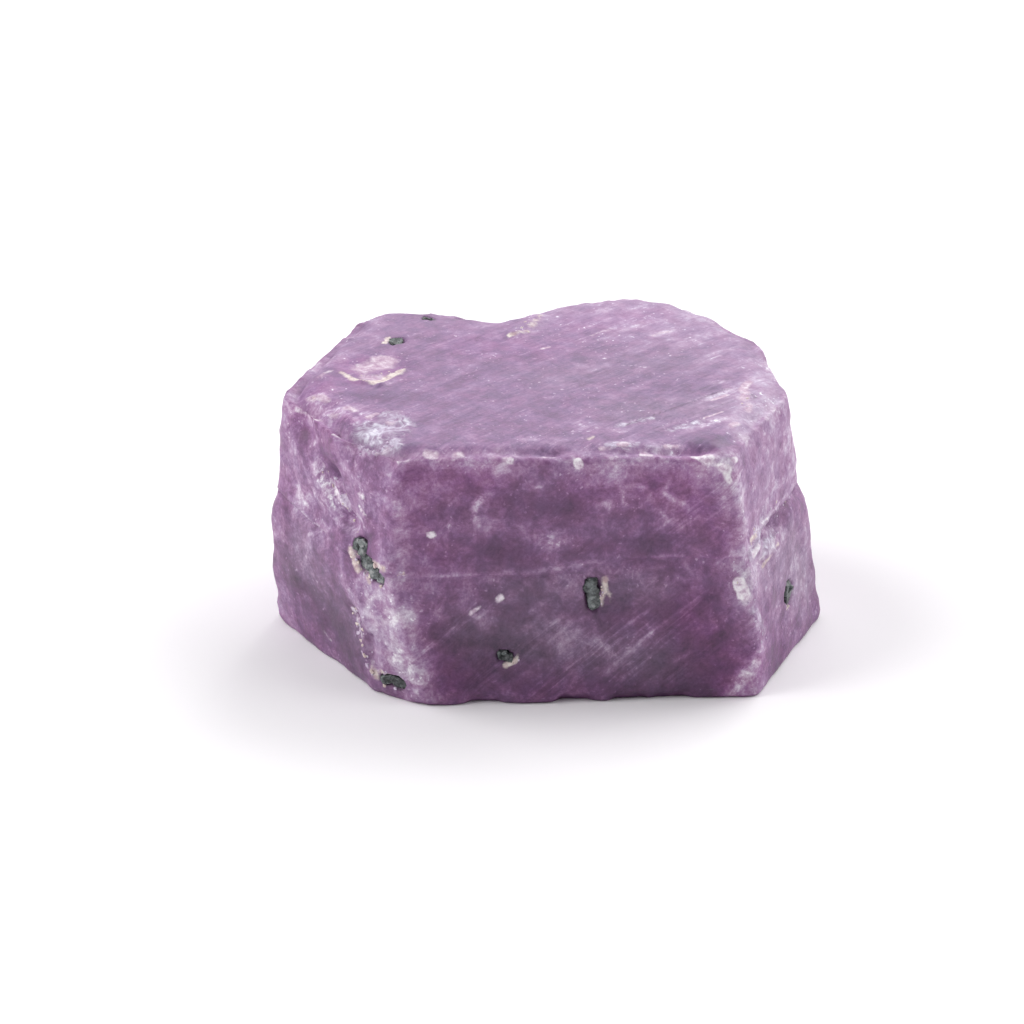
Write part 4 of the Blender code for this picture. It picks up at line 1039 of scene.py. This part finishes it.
def ruby_skin():
    """Corundum, frosted where it is worn.

    How pale a spot is adds up from clouds, grain, wear, stains and painted sparkles and sheen, and a
    ramp gives that its colour. Clear ruby then turns redder and clouded ruby greyer. Crusts, chips,
    cream mineral, and dark places with painted shade in them, are laid over it in that order.
    """
    made, tree, surface = new_finish("ruby_skin")
    place = tree.nodes.new("ShaderNodeTexCoord").outputs["Object"]
    sawn, worn, pale, milky_and_sheen, white, crust = marked(tree, "sawn", "worn", "pale", "milky_and_sheen", "white", "crust")
    clear, clouded, deep, scored = marked(tree, "clear", "clouded", "deep", "scored")
    scratch, cream, dark = marked(tree, "scratch", "cream", "dark")

    clouds = noise(tree, place, 2.6, detail=2.0)
    grain = noise(tree, place, 1.0, detail=8.0, roughness=0.76, bend=0.25)
    sand = noise(tree, place, 0.17, detail=3.0, roughness=0.65)
    frost = noise(tree, place, 0.55, detail=5.0, roughness=0.72, bend=0.5)
    # painted highlights: tiny white sparkles, as if micro facets caught the light, scattered in patches
    sparkle_dots = ranged(tree, noise(tree, place, 0.21, detail=1.0), 0.64, 0.74)
    painted_sparkles = product(tree, sparkle_dots, ranged(tree, noise(tree, place, 1.9, detail=2.0), 0.42, 0.62))
    frosted = product(tree, pale, ranged(tree, frost, 0.40, 0.62))
    scraped = product(tree, scratch, ranged(tree, frost, 0.32, 0.58, 0.45, 1.0))

    # the walls, with fine lines scored across them
    hatch = drawn_noise(tree, place, (0, SCORE_ANGLE, 0), (2.4, 2.4, 0.18), detail=3.0)
    hatched = product(tree, scored, ranged(tree, hatch, 0.44, 0.66, -0.25, 1.0))
    paleness = total(tree, -0.49, (grain, 1.22), (clouds, 0.40), (sand, 0.24), (hatch, 0.12))
    paleness = total(tree, paleness, (painted_sparkles, 0.18), (worn, 0.08), (pale, 0.14), (frosted, 0.26))
    paleness = total(tree, paleness, (milky_and_sheen, 0.17), (scraped, 0.26), (hatched, 0.17), (deep, -0.19))
    walls = ramp(tree, paleness, WALL_RAMP)

    # the sawn top, with the saw's kerfs, the bands between its strokes, and painted glints where the kerfs
    # catch the light
    kerf = drawn_noise(tree, place, (0, 0, SAW_ANGLE), (1.6, 0.15, 2.0), detail=4.0)
    bands = drawn_noise(tree, place, (0, 0, SAW_ANGLE + BAND_TURN), (5.0, 0.7, 3.0), detail=3.0)
    glints = product(tree, ranged(tree, kerf, 0.60, 0.74), ranged(tree, frost, 0.48, 0.60))
    paleness = total(tree, -0.70, (kerf, 0.30), (bands, 0.34), (grain, 1.22), (sand, 0.26))
    paleness = total(tree, paleness, (painted_sparkles, 0.42), (glints, 0.26), (worn, 0.06), (pale, 0.12))
    paleness = total(tree, paleness, (frosted, 0.34), (milky_and_sheen, 0.21), (scraped, 0.2), (deep, -0.26))
    top = ramp(tree, paleness, TOP_RAMP)
    colour = layer(tree, sawn, walls, top)

    # its hue wanders a little, clear ruby is redder and clouded ruby greyer
    wander = ranged(tree, noise(tree, place, 0.7, detail=3.0), 0.30, 0.70, 0.484, 0.516)
    colour = tinted(tree, colour, wander, 0.95)
    colour = tinted(tree, colour, 0.518, 1.15, clear)
    colour = tinted(tree, colour, 0.49, 0.78, clouded)

    # crusts, chips and cream mineral have ragged rims: the frost shifts where each one ends
    chalk = noise(tree, place, 0.30, detail=5.0, roughness=0.65)
    curls = noise(tree, place, 0.80, detail=3.0, roughness=0.6, bend=1.8)
    curled = total(tree, 0.0, (curls, 0.75), (chalk, 0.25))
    crusted = ranged(tree, total(tree, -0.60, (crust, 1.0), (frost, 1.2)), 0.30, 0.85, 0.0, 0.85)
    colour = layer(tree, crusted, colour, ramp(tree, curled, CRUST_RAMP))
    chipped = ranged(tree, total(tree, -0.45, (white, 1.0), (frost, 0.9)), 0.32, 0.80, 0.0, 0.94)
    chalky = layer(tree, sawn, ramp(tree, chalk, WALL_CHALK), ramp(tree, chalk, TOP_CHALK))
    colour = layer(tree, chipped, colour, chalky)
    creamy = ranged(tree, total(tree, -0.60, (cream, 1.0), (frost, 1.2)), 0.30, 0.80, 0.0, 0.90)
    colour = layer(tree, creamy, colour, ramp(tree, chalk, CREAM_RAMP))
    # dark places and painted shade in gaps, cracks, pits and under ledges, laid over last
    dark = product(tree, dark, ranged(tree, frost, 0.30, 0.60, 1.0, 0.6))
    colour = layer(tree, ranged(tree, dark, 0.1, 0.9, 0.0, 0.75), colour, DARK_AND_SHADE_COLOUR)
    feed(tree, colour, surface.inputs["Base Color"])

    # rough rather than glossy, as worn corundum is
    feed(tree, ranged(tree, grain, 0.35, 0.65, 0.42, 0.62), surface.inputs["Roughness"])
    surface.inputs["IOR"].default_value = RUBY_IOR
    surface.inputs["Specular IOR Level"].default_value = 0.25

    dust = noise(tree, place, 0.10, detail=3.0, roughness=0.6)
    height = total(tree, 0.0, (sand, 0.6), (dust, 0.4), (frost, 0.9), (product(tree, kerf, sawn), 0.3))
    height = total(tree, height, (product(tree, curls, crusted), 2.4), (product(tree, chalk, chipped), 1.5))
    bumped(tree, surface, height, strength=0.5, depth=0.05)
    return made


skin_points, skin_ways, skin_edges, skin_quads, skin_fan = crystal_skin()
skin_stains_and_light = stains_and_painted_light(skin_points, skin_ways, skin_edges)
crystal = laid_mesh("crystal_skin", skin_points, skin_quads, skin_fan, skin_stains_and_light)
crystal.data.materials.append(ruby_skin())
crystal.data.shade_smooth()
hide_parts("ruby_crystal")
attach(crystal, "root")

# ------------------------------------------------------------------------------------------
# The grains. Blocky crystals of a dark green-grey mineral, a few grown into each pit in the
# ruby. Their tops lie about level with the skin, and their cleavage faces shine.
# ------------------------------------------------------------------------------------------

GRAIN_FACETS, GRAIN_ROWS, GRAIN_COLUMNS, GRAIN_SEED = 7, 22, 36, 7

# The blocks in each pit, as shares of the pit's half size: (along it, across it, half length,
# half width, spin). Then how deep their middles lie, as a share of its depth, and their lean.
GRAIN_BLOCKS = (
    (-0.42, 0.06, 0.58, 0.80, 0.25),
    (0.36, -0.08, 0.62, 0.88, -0.15),
    (0.05, 0.38, 0.40, 0.55, 0.6),
)
GRAIN_SUNK, GRAIN_LEAN = 0.9, 0.18

# A lump's six sides lean by SIDE_LEAN, and lie this far from its middle. Its other facets cut its
# corners off. A facet that a direction only grazes is left out, as if it were far away.
SIDE_LEAN, SIDES_AT, CUTS_AT, GRAZING, FAR_AWAY = 0.13, (0.80, 1.0), (0.92, 1.25), 0.05, 9.0


def faceted_lumps(name, places, turns, half_sizes, facets, rows, columns, seed):
    """Closed blocky lumps with flat facets, in one mesh, on grids of latitude by longitude.

    Each lump is a box of six leaning facets, its corners cut off by more seeded ones, as unit
    normals with distances. In a direction its surface is as far out as the nearest facet's
    plane: the least of distance over the dot of normal and direction. That is scaled by its
    half sizes, turned and moved to its place. tone is one number for each lump, from 0 to 1.
    """
    rng = np.random.default_rng(seed)
    count = len(places)
    sides = np.concatenate([np.eye(3), -np.eye(3)]) + rng.normal(scale=SIDE_LEAN, size=(count, 6, 3))
    normals = np.concatenate([sides, rng.normal(size=(count, facets, 3))], axis=1)
    normals /= np.linalg.norm(normals, axis=2)[..., None]
    distances = np.concatenate(
        [rng.uniform(*SIDES_AT, (count, 6)), rng.uniform(*CUTS_AT, (count, facets))], axis=1
    )
    tilt = np.linspace(0, np.pi, rows + 1)[:, None]
    spin = (np.arange(columns) / columns * 2 * np.pi)[None, :]
    level = np.sin(tilt) * np.cos(spin), np.sin(tilt) * np.sin(spin)
    ball = np.stack([*level, np.cos(tilt) + 0 * spin], axis=-1)
    ball = np.concatenate([ball[:1, 0], ball[1:-1].reshape(-1, 3), ball[-1:, 0]])
    dots = np.einsum("nfk,pk->npf", normals, ball)
    reach = distances[:, None] / np.maximum(dots, GRAZING)
    reach = np.where(dots > GRAZING, reach, FAR_AWAY).min(axis=2)
    local = ball * reach[..., None] * half_sizes[:, None]
    points = np.einsum("nij,npj->npi", turns, local) + places[:, None]
    per = len(ball)
    ring = 1 + np.arange((rows - 1) * columns).reshape(rows - 1, columns)
    beside = np.roll(ring, -1, axis=1)
    quads = np.stack([ring[:-1], ring[1:], beside[1:], beside[:-1]], axis=-1).reshape(-1, 4)
    top = np.column_stack([np.zeros(columns, int), ring[0], beside[0]])
    bottom = np.column_stack([np.full(columns, per - 1), beside[-1], ring[-1]])
    first = (np.arange(count) * per)[:, None, None]
    quads = (quads + first).reshape(-1, 4)
    fans = (np.concatenate([top, bottom]) + first).reshape(-1, 3)
    tone = np.repeat(rng.uniform(0, 1, count), per)
    return laid_mesh(name, points.reshape(-1, 3), quads, fans, {"tone": tone})


def blocks_in_pits():
    """Places, turns and half sizes of the grains: each block of GRAIN_BLOCKS in every pit.

    A block's place is the pit's, moved along and across it and sunk until its top is about
    level with the skin. It stands the way the pit faces, leaning and spun a little.
    """
    rng = np.random.default_rng(GRAIN_SEED)
    places, turns, sizes = [], [], []
    for place, facing, (across, up, deep) in PITS:
        stance = Vector(facing).to_track_quat("Z", "Y")
        for along, aside, length, width, spin in GRAIN_BLOCKS:
            tall = up > across
            half = np.array((width * across, length * up) if tall else (length * across, width * up))
            moved = (aside * across, along * up) if tall else (along * across, aside * up)
            back = Quaternion((1, 0, 0), rng.normal(scale=GRAIN_LEAN))
            over = Quaternion((0, 1, 0), rng.normal(scale=GRAIN_LEAN))
            spun = Quaternion((0, 0, 1), spin)
            places.append(Vector(place) + stance @ Vector((*moved, -GRAIN_SUNK * deep)))
            turns.append(np.array((stance @ (back @ over) @ spun).to_matrix()))
            sizes.append((*half, deep))
    return np.array(places), np.array(turns), np.array(sizes)


def turns_out_of(ways, spins):
    """Rotations that take +Z to each way, after a spin about it."""
    made = []
    for way, spin in zip(ways, spins):
        made.append(np.array((Vector(way).to_track_quat("Z", "Y") @ Quaternion((0, 0, 1), spin)).to_matrix()))
    return np.array(made)


GRAIN_RAMP = (
    (0.30, (0.022, 0.026, 0.026)),
    (0.74, (0.34, 0.34, 0.34)),
    (0.44, (0.065, 0.074, 0.076)),
    (0.58, (0.140, 0.160, 0.162)),
)
SCALE_GREY = (0.34, 0.35, 0.34)


def green_black():
    """Glossy dark mineral with grey-green clouds and a few pale scales."""
    made, tree, surface = new_finish("green_black")
    place = tree.nodes.new("ShaderNodeTexCoord").outputs["Object"]
    (tone,) = marked(tree, "tone")
    clouds = total(tree, -0.19, (noise(tree, place, 0.28, detail=4.0), 1.1), (tone, 0.25))
    scales = noise(tree, place, 0.14, detail=3.0)
    scaled = ranged(tree, scales, 0.58, 0.74, 0.0, 0.6)
    colour = layer(tree, scaled, ramp(tree, clouds, GRAIN_RAMP), SCALE_GREY)
    feed(tree, colour, surface.inputs["Base Color"])
    feed(tree, ranged(tree, scales, 0.35, 0.65, 0.22, 0.45), surface.inputs["Roughness"])
    bumped(tree, surface, scales, strength=0.35, depth=0.03)
    return made


grains = faceted_lumps(
    "dark_grains", *blocks_in_pits(), GRAIN_FACETS, GRAIN_ROWS, GRAIN_COLUMNS, GRAIN_SEED
)
grains.data.materials.append(green_black())
grains.data.shade_smooth()
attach(grains, "root")

# ------------------------------------------------------------------------------------------
# The crumbs. Little pale lumps of broken ruby and of a cream mineral, stuck along the ledges,
# the crumbled edges and the rims of the pits.
# ------------------------------------------------------------------------------------------

# Lines the crumbs lie along: (start, end, spread, how many, least and most half size, cream).
CRUMB_LINES = (
    ((-9.2, -7.6, 3.8), (-8.3, -8.6, 0.9), 0.16, 34, 0.05, 0.15, 0.30),
    ((-9.1, -7.9, 6.9), (-7.8, -9.4, 5.9), 0.22, 24, 0.05, 0.15, 0.60),
    ((-8.0, -9.0, 1.3), (-6.7, -9.7, 1.0), 0.24, 9, 0.05, 0.15, 0.40),
    ((-7.7, -9.6, 7.1), (-6.8, -9.9, 6.7), 0.06, 7, 0.04, 0.09, 0.70),
    ((-10.5, -5.8, 10.0), (-9.0, -7.6, 8.0), 0.30, 22, 0.04, 0.12, 0.35),
    ((-9.0, -7.9, 12.2), (-7.2, -8.6, 12.6), 0.30, 12, 0.06, 0.16, 0.0),
    ((9.0, -8.6, 7.7), (11.4, -3.2, 7.8), 0.22, 26, 0.04, 0.10, 0.30),
    ((9.5, -8.0, 6.2), (10.9, -5.0, 6.7), 0.30, 16, 0.04, 0.10, 0.20),
    ((8.8, -9.3, 6.9), (9.4, -9.0, 4.4), 0.35, 18, 0.04, 0.12, 0.10),
    ((9.3, -9.2, 4.2), (10.0, -8.2, 2.2), 0.20, 14, 0.04, 0.12, 0.10),
    ((-1.8, -9.8, 2.1), (-1.6, -9.8, 2.3), 0.10, 5, 0.04, 0.09, 0.60),
    ((2.35, -9.5, 6.2), (2.3, -9.5, 5.1), 0.06, 8, 0.04, 0.09, 0.70),
    ((11.1, -5.2, 2.7), (11.4, -4.7, 2.7), 0.10, 5, 0.04, 0.09, 0.80),
    ((-9.3, -0.6, 12.7), (-7.3, -0.7, 12.7), 0.22, 12, 0.04, 0.10, 0.70),
    ((-1.5, 4.3, 12.8), (-0.5, 6.3, 12.8), 0.22, 10, 0.04, 0.10, 0.70),
    ((9.0, -4.8, 12.7), (9.3, -2.6, 12.8), 0.25, 12, 0.05, 0.12, 0.10),
)
CRUMB_FACETS, CRUMB_ROWS, CRUMB_COLUMNS, CRUMB_SEED = 7, 8, 14, 23
# How deep a crumb sits, as a share of its size, how far it is stretched, how flat, and its spin.
CRUMB_SUNK, CRUMB_STRETCH, CRUMB_FLAT, CRUMB_SPIN = 0.32, (0.55, 1.0), (1, 1, 0.6), (0, 6)


def crumb_places(rng):
    """Where the crumbs lie: points strewn about each line, brought to the nearest point of the skin."""
    starts, ends, spreads, counts, least, most, creams = zip(*CRUMB_LINES)
    line = np.repeat(np.arange(len(counts)), counts)
    along = rng.uniform(0, 1, (len(line), 1))
    strewn = np.array(starts)[line] * (1 - along) + np.array(ends)[line] * along
    strewn += rng.normal(size=strewn.shape) * np.array(spreads)[line, None]
    nearest = np.array([((skin_points - place) ** 2).sum(axis=1).argmin() for place in strewn])
    size = rng.uniform(np.array(least)[line], np.array(most)[line])
    cream = rng.uniform(0, 1, len(line)) < np.array(creams)[line]
    return nearest, size, cream


LAVENDER_SHADES = (0.40, 0.27, 0.43), (0.66, 0.58, 0.70)
CREAM_SHADES = (0.50, 0.38, 0.36), (0.76, 0.68, 0.62)


def pale_scale():
    """Chalky crumbs: cream ones where their cream mark is 1, and lavender ones elsewhere."""
    made, tree, surface = new_finish("pale_scale")
    place = tree.nodes.new("ShaderNodeTexCoord").outputs["Object"]
    (cream,) = marked(tree, "cream")
    clouds = noise(tree, place, 0.12, detail=3.0)
    clouded = ranged(tree, clouds, 0.38, 0.66)
    lavender, creamy = (layer(tree, clouded, *shades) for shades in (LAVENDER_SHADES, CREAM_SHADES))
    feed(tree, layer(tree, cream, lavender, creamy), surface.inputs["Base Color"])
    feed(tree, ranged(tree, clouds, 0.35, 0.65, 0.40, 0.65), surface.inputs["Roughness"])
    bumped(tree, surface, clouds, strength=0.4, depth=0.02)
    return made


crumb_rng = np.random.default_rng(CRUMB_SEED)
crumb_at, crumb_size, crumb_cream = crumb_places(crumb_rng)
crumb_stretch = crumb_rng.uniform(*CRUMB_STRETCH, (len(crumb_at), 3)) * CRUMB_FLAT
crumbs = faceted_lumps(
    "pale_crumbs",
    skin_points[crumb_at] - skin_ways[crumb_at] * crumb_size[:, None] * CRUMB_SUNK,
    turns_out_of(skin_ways[crumb_at], crumb_rng.uniform(*CRUMB_SPIN, len(crumb_at))),
    crumb_size[:, None] * crumb_stretch,
    CRUMB_FACETS,
    CRUMB_ROWS,
    CRUMB_COLUMNS,
    CRUMB_SEED,
)
points_each = (CRUMB_ROWS - 1) * CRUMB_COLUMNS + 2
mark(crumbs.data, "cream", np.repeat(crumb_cream, points_each))
crumbs.data.materials.append(pale_scale())
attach(crumbs, "root")

# ------------------------------------------------------------------------------------------
# The table, the lights and the camera. White paper, lit by four far, wide and soft lights from
# the right, the right back, the back and the left. Little light comes from the front.
# ------------------------------------------------------------------------------------------

# Half the paper's width in metres, and how far its face lies under the crystal, in millimetres.
FLOOR_HALF, FLOOR_DROP = 3.0, 0.01
floor_corners = np.array([(-1, -1, 0), (1, -1, 0), (1, 1, 0), (-1, 1, 0)]) * FLOOR_HALF / MM
floor = laid_mesh("table_top", floor_corners - (0, 0, FLOOR_DROP), [(0, 1, 2, 3)])


def white_paper():
    """Plain matt paper, a touch towards lilac."""
    made, tree, surface = new_finish("white_paper")
    feed(tree, (0.97, 0.96, 0.975), surface.inputs["Base Color"])
    feed(tree, 0.9, surface.inputs["Roughness"])
    feed(tree, 0.1, surface.inputs["Specular IOR Level"])
    return made


floor.data.materials.append(white_paper())


def soft_sun(name, towards, strength, spread):
    """A far soft light shining along a direction, as wide as spread degrees."""
    lamp = bpy.data.lights.new(name, "SUN")
    lamp.energy = strength
    lamp.angle = np.radians(spread)
    holder = bpy.data.objects.new(name, lamp)
    holder.rotation_euler = Vector(towards).to_track_quat("-Z", "Y").to_euler()
    bpy.context.scene.collection.objects.link(holder)


# A light's turn is how far round it stands from the front, in degrees, by way of the right.
LIGHT_RISE, LIGHT_SPREAD, ROOM_LIGHT = np.radians(38), 55, 0.18
for name, turn, strength in (
    ("right_light", 90, 1.10),
    ("right_back_light", 135, 1.75),
    ("back_light", 180, 0.75),
    ("left_light", 270, 2.40),
):
    angle, level = np.radians(turn), np.cos(LIGHT_RISE)
    towards = (-level * np.sin(angle), level * np.cos(angle), -np.sin(LIGHT_RISE))
    soft_sun(name, towards, strength, LIGHT_SPREAD)

world = bpy.data.worlds.new("white_room")
world.use_nodes = True
room = world.node_tree.nodes["Background"]
room.inputs["Color"].default_value = (1.0, 1.0, 1.0, 1.0)
room.inputs["Strength"].default_value = ROOM_LIGHT
bpy.context.scene.world = world
bpy.context.scene.view_settings.view_transform = "Standard"

# Where the camera looks, how far back it stands and how high it rises over the table.
CAMERA_AIM, CAMERA_AWAY, CAMERA_RISE = Vector((-1.8, -2.0, 6.2)) * MM, 162.85 * MM, np.radians(25)
lens = bpy.data.cameras.new("camera")
lens.lens, lens.sensor_width = 120.0, 36.0
lens.clip_start, lens.clip_end = 0.01, 20.0
camera = bpy.data.objects.new("camera", lens)
back = Vector((0.0, -np.cos(CAMERA_RISE), np.sin(CAMERA_RISE)))
camera.location = CAMERA_AIM + back * CAMERA_AWAY
camera.rotation_euler = back.to_track_quat("Z", "Y").to_euler()
bpy.context.scene.collection.objects.link(camera)
bpy.context.scene.camera = camera
